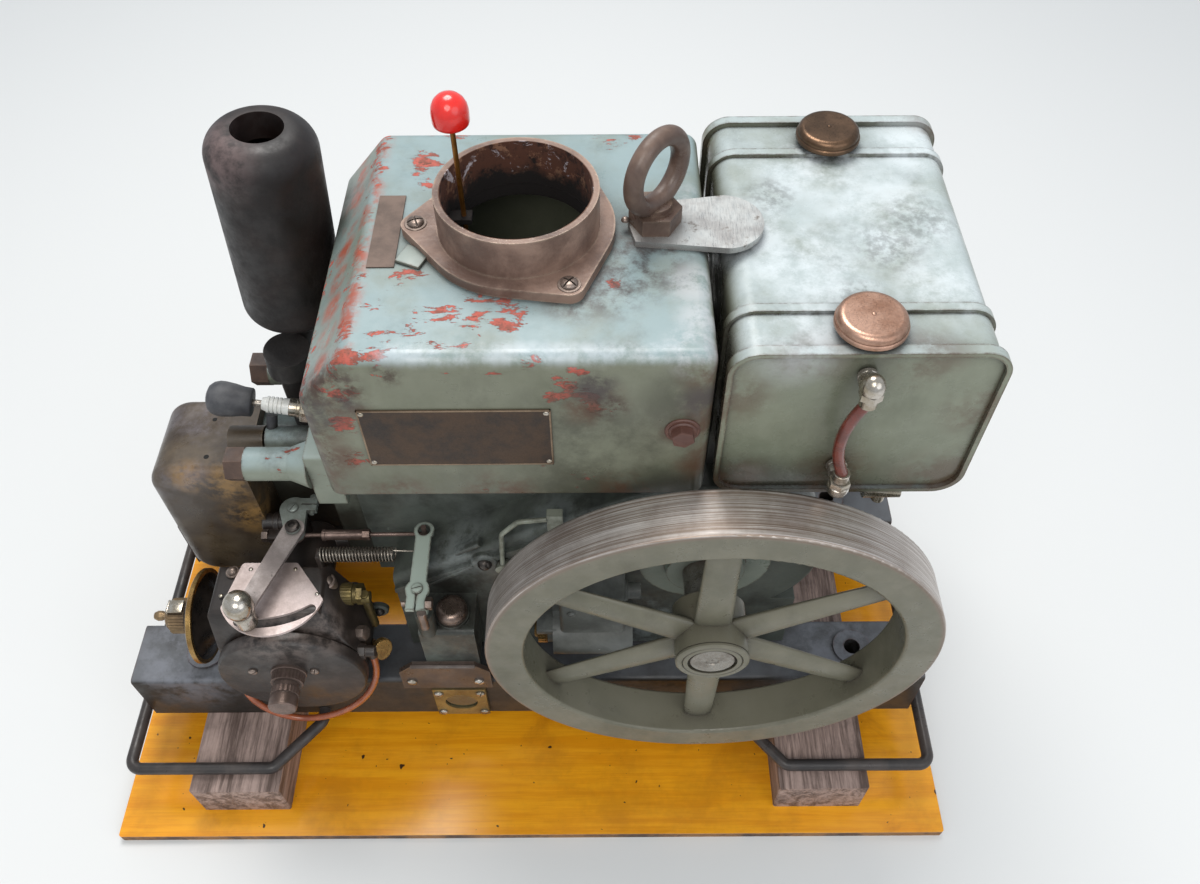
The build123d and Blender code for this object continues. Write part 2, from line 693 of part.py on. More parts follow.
# Hopper: a cast water tank with a slanted shoulder over the head, open at the collar
with BuildPart() as hopper:
    with BuildSketch(Plane.XZ.offset(-HOPPER_FAR)):
        with BuildLine():
            Polyline((HOPPER_LEFT, HOPPER_BOTTOM), (HOPPER_RIGHT, HOPPER_BOTTOM), (HOPPER_RIGHT, HOPPER_TOP),
                     (HOPPER_LEFT + SHOULDER_WIDTH, HOPPER_TOP), (HOPPER_LEFT, HOPPER_TOP - SHOULDER_DROP), close=True)
        make_face()
    extrude(amount=HOPPER_FAR - HOPPER_NEAR)
    rounded = [edge for edge in hopper.edges() if edge.center().Z > HOPPER_BOTTOM + 1]
    fillet(rounded, HOPPER_EDGE_R)
    with BuildSketch(Plane.XZ.offset(-HOPPER_FAR + HOPPER_WALL)):
        with BuildLine():
            Polyline((HOPPER_LEFT, HOPPER_BOTTOM), (HOPPER_RIGHT, HOPPER_BOTTOM), (HOPPER_RIGHT, HOPPER_TOP),
                     (HOPPER_LEFT + SHOULDER_WIDTH, HOPPER_TOP), (HOPPER_LEFT, HOPPER_TOP - SHOULDER_DROP), close=True)
        make_face()
        offset(amount=-HOPPER_WALL, kind=Kind.INTERSECTION, mode=Mode.REPLACE)
        fillet(vertices(), HOPPER_EDGE_R - HOPPER_WALL)
    extrude(amount=HOPPER_FAR - HOPPER_NEAR - 2 * HOPPER_WALL, mode=Mode.SUBTRACT)
    with Locations((COLLAR_X, COLLAR_Y, HOPPER_TOP)):
        Hole(COLLAR_R - COLLAR_WALL, depth=2 * HOPPER_WALL)
hopper.part.label = "hopper"
export_step(hopper.part, "parts/hopper.step")

# Collar on the hopper: a three-lugged flange, a round wall and the float gauge's guide
collar_top = HOPPER_TOP + COLLAR_HEIGHT
with BuildPart() as hopper_collar:
    with BuildSketch(Plane.XY.offset(HOPPER_TOP)) as flange:
        with Locations((COLLAR_X, COLLAR_Y)):
            Circle(COLLAR_FLANGE_R)
            with PolarLocations(COLLAR_LUG_REACH, COLLAR_LUGS, start_angle=COLLAR_LUG_START):
                Circle(COLLAR_LUG_R)
        make_hull()
    extrude(amount=COLLAR_FLANGE)
    with BuildSketch(Plane.XY.offset(HOPPER_TOP)):
        with Locations((COLLAR_X, COLLAR_Y)):
            Circle(COLLAR_R)
    extrude(amount=COLLAR_HEIGHT)
    with BuildSketch(Plane.XY.offset(HOPPER_TOP)):
        with Locations((COLLAR_X, COLLAR_Y)):
            Circle(COLLAR_R - COLLAR_WALL)
    extrude(amount=COLLAR_HEIGHT, mode=Mode.SUBTRACT)
    with BuildSketch(Plane.XY.offset(collar_top - GAUGE_TAB_DROP)):
        with Locations((COLLAR_X, COLLAR_Y)):
            Circle(COLLAR_R - COLLAR_WALL / 2)
        with Locations((GAUGE_AT[0] - GAUGE_TAB, GAUGE_AT[1])):
            Rectangle(3 * GAUGE_TAB, GAUGE_TAB, mode=Mode.INTERSECT)
    extrude(amount=GAUGE_TAB_THICK)
    with Locations((*GAUGE_AT, collar_top)):
        Hole(GAUGE_ROD_R + PIVOT_FIT, depth=2 * GAUGE_TAB_DROP)
hopper_collar.part.label = "hopper_collar"
export_step(hopper_collar.part, "parts/hopper_collar.step")

# Float gauge: a red knob on a rod that slides in the collar's guide, with a float below
float_bottom = HOPPER_BOTTOM + HOPPER_WALL + FLOAT_LIFT
knob_bottom = collar_top + GAUGE_KNOB_LIFT
with BuildPart() as float_gauge:
    with BuildSketch(Plane.XY.offset(float_bottom)):
        with Locations(GAUGE_AT):
            Circle(GAUGE_ROD_R)
    extrude(amount=knob_bottom - float_bottom + 1)
    with BuildSketch(Plane.XY.offset(knob_bottom)):
        with Locations(GAUGE_AT):
            Circle(GAUGE_KNOB_R)
    extrude(amount=GAUGE_KNOB_HEIGHT)
    fillet(float_gauge.faces().sort_by(Axis.Z)[-1].edges(), GAUGE_KNOB_R - 2)
    with BuildSketch(Plane.XY.offset(float_bottom)):
        with Locations(GAUGE_AT):
            Circle(FLOAT_R)
    extrude(amount=FLOAT_HEIGHT)
float_gauge.part.label = "float_gauge"
export_step(float_gauge.part, "parts/float_gauge.step")

# Blank name plate and blank instruction plate
with BuildPart() as name_plate:
    with BuildSketch(Plane.XZ.offset(-HOPPER_NEAR)):
        with Locations(NAME_PLATE_AT):
            Rectangle(*NAME_PLATE_SIZE)
    extrude(amount=NAME_PLATE_THICK)
name_plate.part.label = "name_plate"
export_step(name_plate.part, "parts/name_plate.step")

with BuildPart() as instruction_plate:
    with BuildSketch(Plane.XY.offset(HOPPER_TOP)):
        with Locations(RULE_PLATE_AT):
            Rectangle(*RULE_PLATE_SIZE)
    extrude(amount=RULE_PLATE_THICK)
instruction_plate.part.label = "instruction_plate"
export_step(instruction_plate.part, "parts/instruction_plate.step")

# Hex plug on the hopper's near face
with BuildPart() as hopper_plug:
    with BuildSketch(Plane.XZ.offset(-HOPPER_NEAR)):
        with Locations(DRAIN_PLUG_AT):
            Circle(DRAIN_WASHER_R)
    extrude(amount=DRAIN_WASHER_THICK)
    with BuildSketch(Plane.XZ.offset(-HOPPER_NEAR + DRAIN_WASHER_THICK)):
        with Locations(DRAIN_PLUG_AT):
            RegularPolygon(DRAIN_HEX_R, 6, major_radius=False)
    extrude(amount=DRAIN_HEX_HEIGHT)
hopper_plug.part.label = "hopper_plug"
export_step(hopper_plug.part, "parts/hopper_plug.step")

# Strap from under the eye bolt to the tank, with a round tongue
with BuildPart() as tank_strap:
    with BuildSketch(Plane.XY.offset(HOPPER_TOP)):
        with BuildLine():
            Polyline((STRAP_SHOULDER, STRAP_HALF), (EYE_X, STRAP_NOSE), (EYE_X - STRAP_WAIST, 0),
                     (EYE_X - STRAP_WAIST + STRAP_THICK, -STRAP_NOSE), (STRAP_SHOULDER, -STRAP_HALF))
            ThreePointArc((STRAP_SHOULDER, -STRAP_HALF), (STRAP_REACH, 0), (STRAP_SHOULDER, STRAP_HALF))
        make_face()
    extrude(amount=STRAP_THICK)
tank_strap.part.label = "tank_strap"
export_step(tank_strap.part, "parts/tank_strap.step")

# Eye bolt: hexagon, collar and ring, turned a little about its own axis
strap_top = HOPPER_TOP + STRAP_THICK
eye_turn = radians(EYE_TURN)
ring_plane = Plane(origin=(EYE_X, 0, strap_top + EYE_LIFT), x_dir=(cos(eye_turn), -sin(eye_turn), 0),
                   z_dir=(sin(eye_turn), cos(eye_turn), 0))
with BuildPart() as eye_bolt:
    with BuildSketch(Plane.XY.offset(strap_top)):
        with Locations((EYE_X, 0)):
            RegularPolygon(EYE_HEX_R, 6, major_radius=False)
    extrude(amount=EYE_HEX_HEIGHT)
    with BuildSketch(Plane.XY.offset(strap_top + EYE_HEX_HEIGHT)):
        with Locations((EYE_X, 0)):
            Circle(EYE_SHANK_R)
    extrude(amount=EYE_LIFT - EYE_RING_R - EYE_HEX_HEIGHT)
    with Locations(ring_plane):
        Torus(EYE_RING_R, EYE_ROD_R)
eye_bolt.part.label = "eye_bolt"
export_step(eye_bolt.part, "parts/eye_bolt.step")

# Fuel tank: a sheet shell with two beads and filler necks, and pressed ends in a rolled lip
tank_mid = ((TANK_LEFT + TANK_RIGHT) / 2, (TANK_BOTTOM + HOPPER_TOP) / 2)
tank_width = TANK_RIGHT - TANK_LEFT
tank_height = HOPPER_TOP - TANK_BOTTOM
shell_top = HOPPER_TOP - TANK_LIP
shell_length = TANK_FAR - TANK_NEAR - 2 * TANK_END_DEPTH
shell_start = Plane.XZ.offset(-TANK_FAR + TANK_END_DEPTH)
neck_places = [(TANK_CAP_X, -TANK_CAP_Y), (TANK_CAP_X, TANK_CAP_Y)]


def tank_outline(inset, corner):
    with Locations(tank_mid):
        RectangleRounded(tank_width - 2 * inset, tank_height - 2 * inset, corner)


with BuildPart() as tank_shell:
    with BuildSketch(shell_start):
        tank_outline(TANK_LIP, TANK_CORNER_R - TANK_LIP)
    extrude(amount=shell_length)
    for bead_y in (TANK_NEAR + TANK_BEAD_IN, TANK_FAR - TANK_BEAD_IN):
        with BuildSketch(Plane.XZ.offset(-bead_y - TANK_BEAD_WIDTH / 2)):
            tank_outline(TANK_LIP - TANK_BEAD_R, TANK_CORNER_R)
        extrude(amount=TANK_BEAD_WIDTH)
    with BuildSketch(shell_start):
        tank_outline(TANK_LIP + TANK_WALL, TANK_CORNER_R - TANK_LIP - TANK_WALL)
    extrude(amount=shell_length, mode=Mode.SUBTRACT)
    with BuildSketch(Plane.XY.offset(shell_top - TANK_WALL)):
        with Locations(*neck_places):
            Circle(TANK_NECK_R)
    extrude(amount=TANK_WALL + TANK_NECK_HEIGHT)
    with Locations(*[(x, y, shell_top + TANK_NECK_HEIGHT) for x, y in neck_places]):
        Hole(TANK_NECK_R - TANK_NECK_WALL, depth=3 * TANK_NECK_HEIGHT)
tank_shell.part.label = "tank_shell"
export_step(tank_shell.part, "parts/tank_shell.step")

for side, end_face, way in (("near", TANK_NEAR, -1), ("far", TANK_FAR, 1)):
    with BuildPart() as tank_end:
        with BuildSketch(Plane.XZ.offset(-end_face)):
            tank_outline(0, TANK_CORNER_R)
        extrude(amount=way * TANK_END_DEPTH)
        with BuildSketch(Plane.XZ.offset(-end_face)):
            tank_outline(TANK_LIP, TANK_CORNER_R - TANK_LIP)
        extrude(amount=way * TANK_END_SUNK, mode=Mode.SUBTRACT)
    tank_end.part.label = f"tank_end_{side}"
    export_step(tank_end.part, f"parts/tank_end_{side}.step")

for side, cap_at in (("near", neck_places[0]), ("far", neck_places[1])):
    with BuildPart() as tank_cap:
        with BuildSketch(Plane.XY.offset(shell_top + TANK_NECK_HEIGHT)):
            with Locations(cap_at):
                Circle(TANK_CAP_R)
        extrude(amount=TANK_CAP_HEIGHT)
        fillet(tank_cap.faces().sort_by(Axis.Z)[-1].edges(), TANK_CAP_EDGE_R)
    tank_cap.part.label = f"tank_cap_{side}"
    export_step(tank_cap.part, f"parts/tank_cap_{side}.step")

# Bracket from the crankcase to the tank
shelf_top = TANK_BOTTOM + TANK_LIP
with BuildPart() as tank_bracket:
    with BuildSketch(Plane.XY.offset(case_top)):
        with Locations((BRACKET_X, 0)):
            Rectangle(BRACKET_FOOT, 2 * BRACKET_HALF)
    extrude(amount=BRACKET_THICK)
    with BuildSketch(Plane.XY.offset(shelf_top)):
        with Locations((tank_mid[0], 0)):
            Rectangle(BRACKET_SHELF, 2 * BRACKET_HALF)
    extrude(amount=-BRACKET_THICK)
    with BuildSketch(Plane.XY.offset(case_top)):
        with GridLocations(0, 2 * BRACKET_HALF - BRACKET_THICK, 1, 2):
            with Locations((BRACKET_X, 0)):
                Rectangle(BRACKET_FOOT, BRACKET_THICK)
    extrude(amount=shelf_top - case_top)
tank_bracket.part.label = "tank_bracket"
export_step(tank_bracket.part, "parts/tank_bracket.step")

# Level gauge on the tank's near end: two fittings and the bowed tube between them
gauge_face = TANK_NEAR + TANK_END_SUNK
gauge_y = TANK_NEAR - GAUGE_STAND_OFF
with BuildPart() as gauge_fittings:
    for gauge_x, gauge_z in (GAUGE_TOP_AT, GAUGE_BOTTOM_AT):
        with BuildSketch(Plane.XZ.offset(-gauge_face)):
            with Locations((gauge_x, gauge_z)):
                Circle(GAUGE_SPIGOT_R)
        extrude(amount=gauge_face - gauge_y)
        with BuildSketch(Plane.XY.offset(gauge_z - GAUGE_BARREL_HALF)):
            with Locations((gauge_x, gauge_y)):
                Circle(GAUGE_BARREL_R)
        extrude(amount=2 * GAUGE_BARREL_HALF)
    with Locations((GAUGE_TOP_AT[0], gauge_y, GAUGE_TOP_AT[1] + GAUGE_BARREL_HALF)):
        Sphere(GAUGE_BARREL_R)
gauge_fittings.part.label = "gauge_fittings"
export_step(gauge_fittings.part, "parts/gauge_fittings.step")

tube_top = (GAUGE_TOP_AT[0], gauge_y, GAUGE_TOP_AT[1] - GAUGE_BARREL_HALF - GAUGE_TUBE_GAP)
tube_foot = (GAUGE_BOTTOM_AT[0], gauge_y, GAUGE_BOTTOM_AT[1] + GAUGE_BARREL_HALF + GAUGE_TUBE_GAP)
tube_mid = (tube_foot[0] - GAUGE_TUBE_BOW, gauge_y, (tube_top[2] + tube_foot[2]) / 2)
with BuildPart() as gauge_tube:
    with BuildLine() as tube_line:
        ThreePointArc(tube_top, tube_mid, tube_foot)
    with BuildSketch(Plane(origin=tube_line.line @ 0, z_dir=tube_line.line % 0)):
        Circle(GAUGE_TUBE_R)
    sweep()
gauge_tube.part.label = "gauge_tube"
export_step(gauge_tube.part, "parts/gauge_tube.step")

# Fuel cock under the tank
with BuildPart() as fuel_cock:
    with BuildSketch(Plane.XY.offset(shelf_top)):
        with Locations(COCK_AT):
            Circle(COCK_COLLAR_R)
    extrude(amount=-TANK_LIP)
    with BuildSketch(Plane.XY.offset(TANK_BOTTOM)):
        with Locations(COCK_AT):
            Circle(COCK_PIPE_R)
    extrude(amount=-COCK_DROP)
    with Locations((*COCK_AT, TANK_BOTTOM - COCK_BARREL_DROP)):
        Cylinder(COCK_BARREL_R, COCK_BARREL_LENGTH, rotation=(0, 90, 0))
fuel_cock.part.label = "fuel_cock"
export_step(fuel_cock.part, "parts/fuel_cock.step")

# The spark plug's axis tilts up to the left
plug_dir = Vector(-cos(radians(PLUG_TILT)), 0, sin(radians(PLUG_TILT)))


def plug_plane(distance):
    return Plane(origin=Vector(HEAD_LEFT, 0, PLUG_Z) + plug_dir * distance, z_dir=plug_dir)


# Cylinder head: the flanged plate, two long stud bosses with wide roots, the valve boss, the
# rocker pedestal and the plug's seat
boss_places = [(-HEAD_BOSS_Y, HEAD_BOSS_Z), (HEAD_BOSS_Y, HEAD_BOSS_Z)]
with BuildPart() as cylinder_head:
    with BuildSketch(Plane.YZ.offset(HEAD_LEFT)):
        with BuildLine():
            Polyline((-HEAD_STEP_HALF, HEAD_BOTTOM), (HEAD_HALF, HEAD_BOTTOM), (HEAD_HALF, HEAD_TOP),
                     (-HEAD_HALF, HEAD_TOP), (-HEAD_HALF, HEAD_STEP), (-HEAD_STEP_HALF, HEAD_STEP), close=True)
        make_face()
    extrude(amount=BLOCK_LEFT - HEAD_LEFT)
    fillet(cylinder_head.edges().filter_by(Axis.X), HEAD_EDGE_R)
    with BuildSketch(Plane.YZ.offset(HEAD_LEFT)):
        with Locations(*boss_places):
            Circle(HEAD_BOSS_R)
    extrude(amount=HEAD_BOSS_END - HEAD_LEFT)
    for boss in boss_places:
        with BuildSketch(Plane.YZ.offset(HEAD_LEFT)):
            with Locations(boss):
                Circle(HEAD_BOSS_ROOT_R)
        with BuildSketch(Plane.YZ.offset(HEAD_LEFT - HEAD_BOSS_ROOT)):
            with Locations(boss):
                Circle(HEAD_BOSS_R)
        loft()
    with BuildSketch(Plane.YZ.offset(HEAD_LEFT)):
        with Locations((VALVE_BOSS_Y, VALVE_BOSS_Z)):
            Circle(VALVE_BOSS_R)
    extrude(amount=VALVE_BOSS_END - HEAD_LEFT)
    with BuildSketch(Plane.YZ.offset(HEAD_LEFT)):
        with Locations((PEDESTAL_Y, (HEAD_BOTTOM + PEDESTAL_TOP) / 2)):
            Rectangle(PEDESTAL_WIDTH, PEDESTAL_TOP - HEAD_BOTTOM)
    extrude(amount=COVER_RIGHT - HEAD_LEFT)
    with BuildSketch(plug_plane(PLUG_SEAT)):
        Circle(PLUG_SEAT_R)
    extrude(amount=-2 * PLUG_SEAT)
cylinder_head.part.label = "cylinder_head"
export_step(cylinder_head.part, "parts/cylinder_head.step")

with BuildPart() as head_nuts:
    with BuildSketch(Plane.YZ.offset(HEAD_BOSS_END)):
        with Locations(*boss_places):
            RegularPolygon(HEX_AF / 2, 6, major_radius=False)
    extrude(amount=-HEX_LENGTH)
head_nuts.part.label = "head_nuts"
export_step(head_nuts.part, "parts/head_nuts.step")

# Valve cover: a deep rounded box with a hump towards the valve boss
with BuildPart() as valve_cover:
    with BuildSketch(Plane.XZ.offset(-COVER_HALF)):
        with Locations(((COVER_LEFT + COVER_RIGHT) / 2, (COVER_BOTTOM + COVER_TOP) / 2)):
            Rectangle(COVER_RIGHT - COVER_LEFT, COVER_TOP - COVER_BOTTOM)
    extrude(amount=2 * COVER_HALF)
    fillet(valve_cover.edges().filter_by(Axis.Y).group_by(Axis.X)[0], COVER_CORNER_R)
    fillet(valve_cover.faces().sort_by(Axis.X)[0].edges(), COVER_EDGE_R)
    with BuildSketch(Plane.YZ.offset(COVER_HUMP_LEFT)):
        with Locations((VALVE_BOSS_Y, VALVE_BOSS_Z)):
            Circle(VALVE_BOSS_R)
        with Locations((VALVE_BOSS_Y, (COVER_TOP + VALVE_BOSS_Z) / 2)):
            Rectangle(2 * VALVE_BOSS_R, VALVE_BOSS_Z - COVER_TOP)
    extrude(amount=COVER_HUMP_RIGHT - COVER_HUMP_LEFT)
valve_cover.part.label = "valve_cover"
export_step(valve_cover.part, "parts/valve_cover.step")

# Spark plug: hexagon, insulator and terminal, then its cap
plug_body_start = PLUG_SEAT + PLUG_HEX_LENGTH
plug_tip_start = plug_body_start + PLUG_BODY_LENGTH
plug_cap_start = plug_tip_start + PLUG_TIP_LENGTH
with BuildPart() as spark_plug:
    with BuildSketch(plug_plane(PLUG_SEAT)):
        RegularPolygon(PLUG_HEX_R, 6, major_radius=False)
    extrude(amount=PLUG_HEX_LENGTH)
    with BuildSketch(plug_plane(plug_body_start)):
        Circle(PLUG_BODY_R)
    extrude(amount=PLUG_BODY_LENGTH)
    with BuildSketch(plug_plane(plug_tip_start)):
        Circle(PLUG_TIP_R)
    extrude(amount=PLUG_TIP_LENGTH)
spark_plug.part.label = "spark_plug"
export_step(spark_plug.part, "parts/spark_plug.step")

with BuildPart() as plug_cap:
    with BuildSketch(plug_plane(plug_cap_start)):
        Circle(PLUG_CAP_R)
    extrude(amount=PLUG_CAP_LENGTH)
    fillet(plug_cap.faces().sort_by(Axis.X)[0].edges(), PLUG_CAP_DOME)
plug_cap.part.label = "plug_cap"
export_step(plug_cap.part, "parts/plug_cap.step")

# Muffler: a bottle-shaped can, open at its top
muffler_axis = Plane(origin=(MUFFLER_X, MUFFLER_Y, MUFFLER_Z), x_dir=(0, 1, 0),
                     z_dir=(sin(radians(MUFFLER_LEAN)), 0, cos(radians(MUFFLER_LEAN))))
with BuildPart() as muffler:
    with BuildSketch(muffler_axis):
        Circle(MUFFLER_R)
    extrude(amount=MUFFLER_LENGTH)
    fillet(muffler.faces().sort_by(Axis.Z)[-1].edges(), MUFFLER_TOP_R)
    fillet(muffler.faces().sort_by(Axis.Z)[0].edges(), MUFFLER_FOOT_R)
    with BuildSketch(muffler_axis.offset(MUFFLER_END)):
        Circle(MUFFLER_R - MUFFLER_WALL)
    extrude(amount=MUFFLER_LENGTH - MUFFLER_END - OUTLET_DEPTH, mode=Mode.SUBTRACT)
    with BuildSketch(muffler_axis.offset(MUFFLER_LENGTH)):
        Circle(OUTLET_R)
    extrude(amount=-2 * OUTLET_DEPTH, mode=Mode.SUBTRACT)
muffler.part.label = "muffler"
export_step(muffler.part, "parts/muffler.step")

# Exhaust elbow: up from the pedestal, over to the muffler's neck, with a round cap on its turn
elbow_at = Vector(*ELBOW_AT)
neck_at = muffler_axis.origin - muffler_axis.z_dir * NECK_LENGTH
with BuildPart() as exhaust_elbow:
    with BuildSketch(Plane.XY.offset(PEDESTAL_TOP)):
        with Locations((elbow_at.X, elbow_at.Y)):
            Circle(NECK_R)
    extrude(amount=elbow_at.Z - PEDESTAL_TOP)
    with Locations(elbow_at, neck_at):
        Sphere(NECK_R + ELBOW_BEND_SPARE)
    with BuildSketch(Plane(origin=elbow_at, z_dir=neck_at - elbow_at)):
        Circle(NECK_R)
    extrude(amount=(neck_at - elbow_at).length)
    with BuildSketch(Plane(origin=neck_at, z_dir=muffler_axis.z_dir)):
        Circle(NECK_R)
    extrude(amount=NECK_LENGTH)
    with BuildSketch(Plane(origin=elbow_at, z_dir=ELBOW_CAP_AXIS)):
        Circle(ELBOW_CAP_R)
    extrude(amount=ELBOW_CAP_LENGTH)
exhaust_elbow.part.label = "exhaust_elbow"
export_step(exhaust_elbow.part, "parts/exhaust_elbow.step")

# Fuel hose: one length of tube from the carburettor's right side down and round to its left
HOSE_ROUTE = [(-145, -146, 236), (-145, -146, 206), (-158, -150, 165), (-182, -151, 128), (-214, -151, 102),
              (-246, -150, 92), (-274, -148, 104), (-291, -145, 130), (-296, -140, 158), (-290, -132, 184)]


def corner_radii(route):
    radii = []
    for before, at, after in zip(route, route[1:], route[2:]):
        run_in = Vector(*at) - Vector(*before)
        run_out = Vector(*after) - Vector(*at)
        shorter = min(run_in.length, run_out.length)
        radii.append(HOSE_BEND_SHARE * shorter / tan(radians(run_in.get_angle(run_out) / 2)))
    return radii


hose_radii = corner_radii(HOSE_ROUTE)
print("hose radii", [round(r) for r in hose_radii])
hose_start, hose_end = HOSE_ROUTE[0], HOSE_ROUTE[-1]
hose_end_dir = Vector(*HOSE_ROUTE[-1]) - Vector(*HOSE_ROUTE[-2])
with BuildPart() as fuel_hose:
    with BuildLine() as hose_line:
        FilletPolyline(*HOSE_ROUTE, radius=hose_radii)
    with BuildSketch(Plane(origin=hose_line.line @ 0, z_dir=hose_line.line % 0)):
        Circle(HOSE_R)
    sweep()
hose_length = hose_line.wires()[0].length
print("hose length", round(hose_length, 1), "volume ratio",
      round(fuel_hose.part.volume / (hose_length * pi * HOSE_R ** 2), 4))
fuel_hose.part.label = "fuel_hose"
export_step(fuel_hose.part, "parts/fuel_hose.step")

# Carburettor body: a drum with a flat top under the quadrant plate, the throat and intake to
# the head, the throttle shaft's boss, the hose fittings and the spring's lug
plate_bottom = PLATE_TOP - PLATE_THICK
rod_top = ARM_BOTTOM - SLIDE_GAP
fitting_x = hose_start[0] - HOSE_FITTING_R
with BuildPart() as carburettor_body:
    with BuildSketch(Plane.XZ.offset(-DRUM_FAR)):
        with Locations((DRUM_X, DRUM_Z)):
            Circle(DRUM_R)
        with Locations((DRUM_X, (DRUM_Z + plate_bottom) / 2)):
            Rectangle(2 * DRUM_R, plate_bottom - DRUM_Z)
        fillet(vertices().group_by(Axis.Y)[-1], DRUM_SHOULDER_R)
    extrude(amount=DRUM_FAR - DRUM_NEAR)
    fillet(carburettor_body.faces().sort_by(Axis.Y)[0].edges(), DRUM_EDGE_R)
    with BuildSketch(Plane.XZ.offset(-DRUM_FAR)):
        with Locations((THROAT_X, THROAT_Z)):
            Circle(THROAT_R)
    extrude(amount=DRUM_FAR - INTAKE_Y - INTAKE_R)
    with BuildSketch(Plane.YZ.offset(THROAT_X)):
        with Locations((INTAKE_Y, THROAT_Z)):
            Circle(INTAKE_R)
    extrude(amount=HEAD_LEFT - THROAT_X)
    with BuildSketch(Plane.XY.offset(THROAT_Z)):
        with Locations(ARM_SHAFT):
            Circle(ARM_BOSS_R)
    extrude(amount=rod_top - THROAT_Z)
    with Locations((*ARM_SHAFT, ARM_BOTTOM)):
        Hole(ARM_SHAFT_R + PIVOT_FIT, depth=ARM_SHAFT_DEPTH + HOLE_SPARE)
    with BuildSketch(Plane.YZ.offset(fitting_x - 2 * HOSE_FITTING_R)):
        with Locations((hose_start[1], hose_start[2] + 2 * HOSE_FITTING_R)):
            Circle(HOSE_FITTING_R + 1)
    extrude(amount=4 * HOSE_FITTING_R)
    with BuildSketch(Plane.XY.offset(hose_start[2])):
        with Locations((hose_start[0], hose_start[1])):
            Circle(HOSE_FITTING_R)
    extrude(amount=2 * HOSE_FITTING_R)
    with BuildSketch(Plane(origin=hose_end, z_dir=hose_end_dir)):
        Circle(HOSE_FITTING_R)
    extrude(amount=3 * HOSE_FITTING_R)
    with BuildSketch(Plane.XY.offset(plate_bottom - SPRING_LUG_DEPTH)):
        with Locations((SPRING_LEFT - SLIDE_GAP - SPRING_LUG_THICK / 2, SPRING_Y)):
            Rectangle(SPRING_LUG_THICK, 2 * SPRING_R)
    extrude(amount=SPRING_Z + SPRING_R - plate_bottom + SPRING_LUG_DEPTH)
carburettor_body.part.label = "carburettor_body"
export_step(carburettor_body.part, "parts/carburettor_body.step")

# Bowl nut with its drain screw
with BuildPart() as bowl_nut:
    with BuildSketch(Plane.XZ.offset(-DRUM_NEAR)):
        with Locations((DRUM_X, BOWL_NUT_Z)):
            Circle(BOWL_NUT_R)
    extrude(amount=BOWL_NUT_LENGTH)
    with BuildSketch(Plane.XZ.offset(-DRUM_NEAR + BOWL_NUT_LENGTH)):
        with Locations((DRUM_X, BOWL_NUT_Z)):
            Circle(BOWL_SCREW_R)
    extrude(amount=BOWL_SCREW_LENGTH)
bowl_nut.part.label = "bowl_nut"
export_step(bowl_nut.part, "parts/bowl_nut.step")


# The linkage's positions at a turn of the throttle arm
def turned(point, centre, angle):
    dx, dy = point[0] - centre[0], point[1] - centre[1]
    c, s = cos(radians(angle)), sin(radians(angle))
    return (centre[0] + c * dx - s * dy, centre[1] + s * dx + c * dy)


def knob_place(angle):
    pin = turned(ARM_PIN, ARM_SHAFT, angle)
    knob = turned(KNOB_AT, ARM_PIN, angle * (1 + LEVER_RATIO))
    return (pin[0] + knob[0] - ARM_PIN[0], pin[1] + knob[1] - ARM_PIN[1])


# Quadrant plate with the slot that the knob's stud runs in
slot_start = knob_place(-SLOT_SPARE)
slot_mid = knob_place(ARM_SWING / 2)
slot_end = knob_place(ARM_SWING + SLOT_SPARE / 2)
slot_arc = ThreePointArc(slot_start, slot_mid, slot_end, mode=Mode.PRIVATE)
plate_left = (slot_start[0] - PLATE_SIDE, slot_start[1] + PLATE_SIDE_BACK)
plate_right = (slot_end[0] + PLATE_RIM, slot_end[1] + PLATE_RIM)
plate_back = DRUM_FAR
with BuildPart() as quadrant_plate:
    with BuildSketch(Plane.XY.offset(plate_bottom)):
        with BuildLine():
            Polyline(plate_left, (DRUM_X - PLATE_BACK_LEFT, plate_back), (DRUM_X + PLATE_BACK_RIGHT, plate_back),
                     plate_right)
            ThreePointArc(plate_right, (slot_mid[0], slot_mid[1] - PLATE_SIDE_BACK), plate_left)
        make_face()
        fillet(vertices(), PLATE_CORNER_R)
        SlotArc(slot_arc, SLOT_WIDTH, mode=Mode.SUBTRACT)
    extrude(amount=PLATE_THICK)
quadrant_plate.part.label = "quadrant_plate"
export_step(quadrant_plate.part, "parts/quadrant_plate.step")

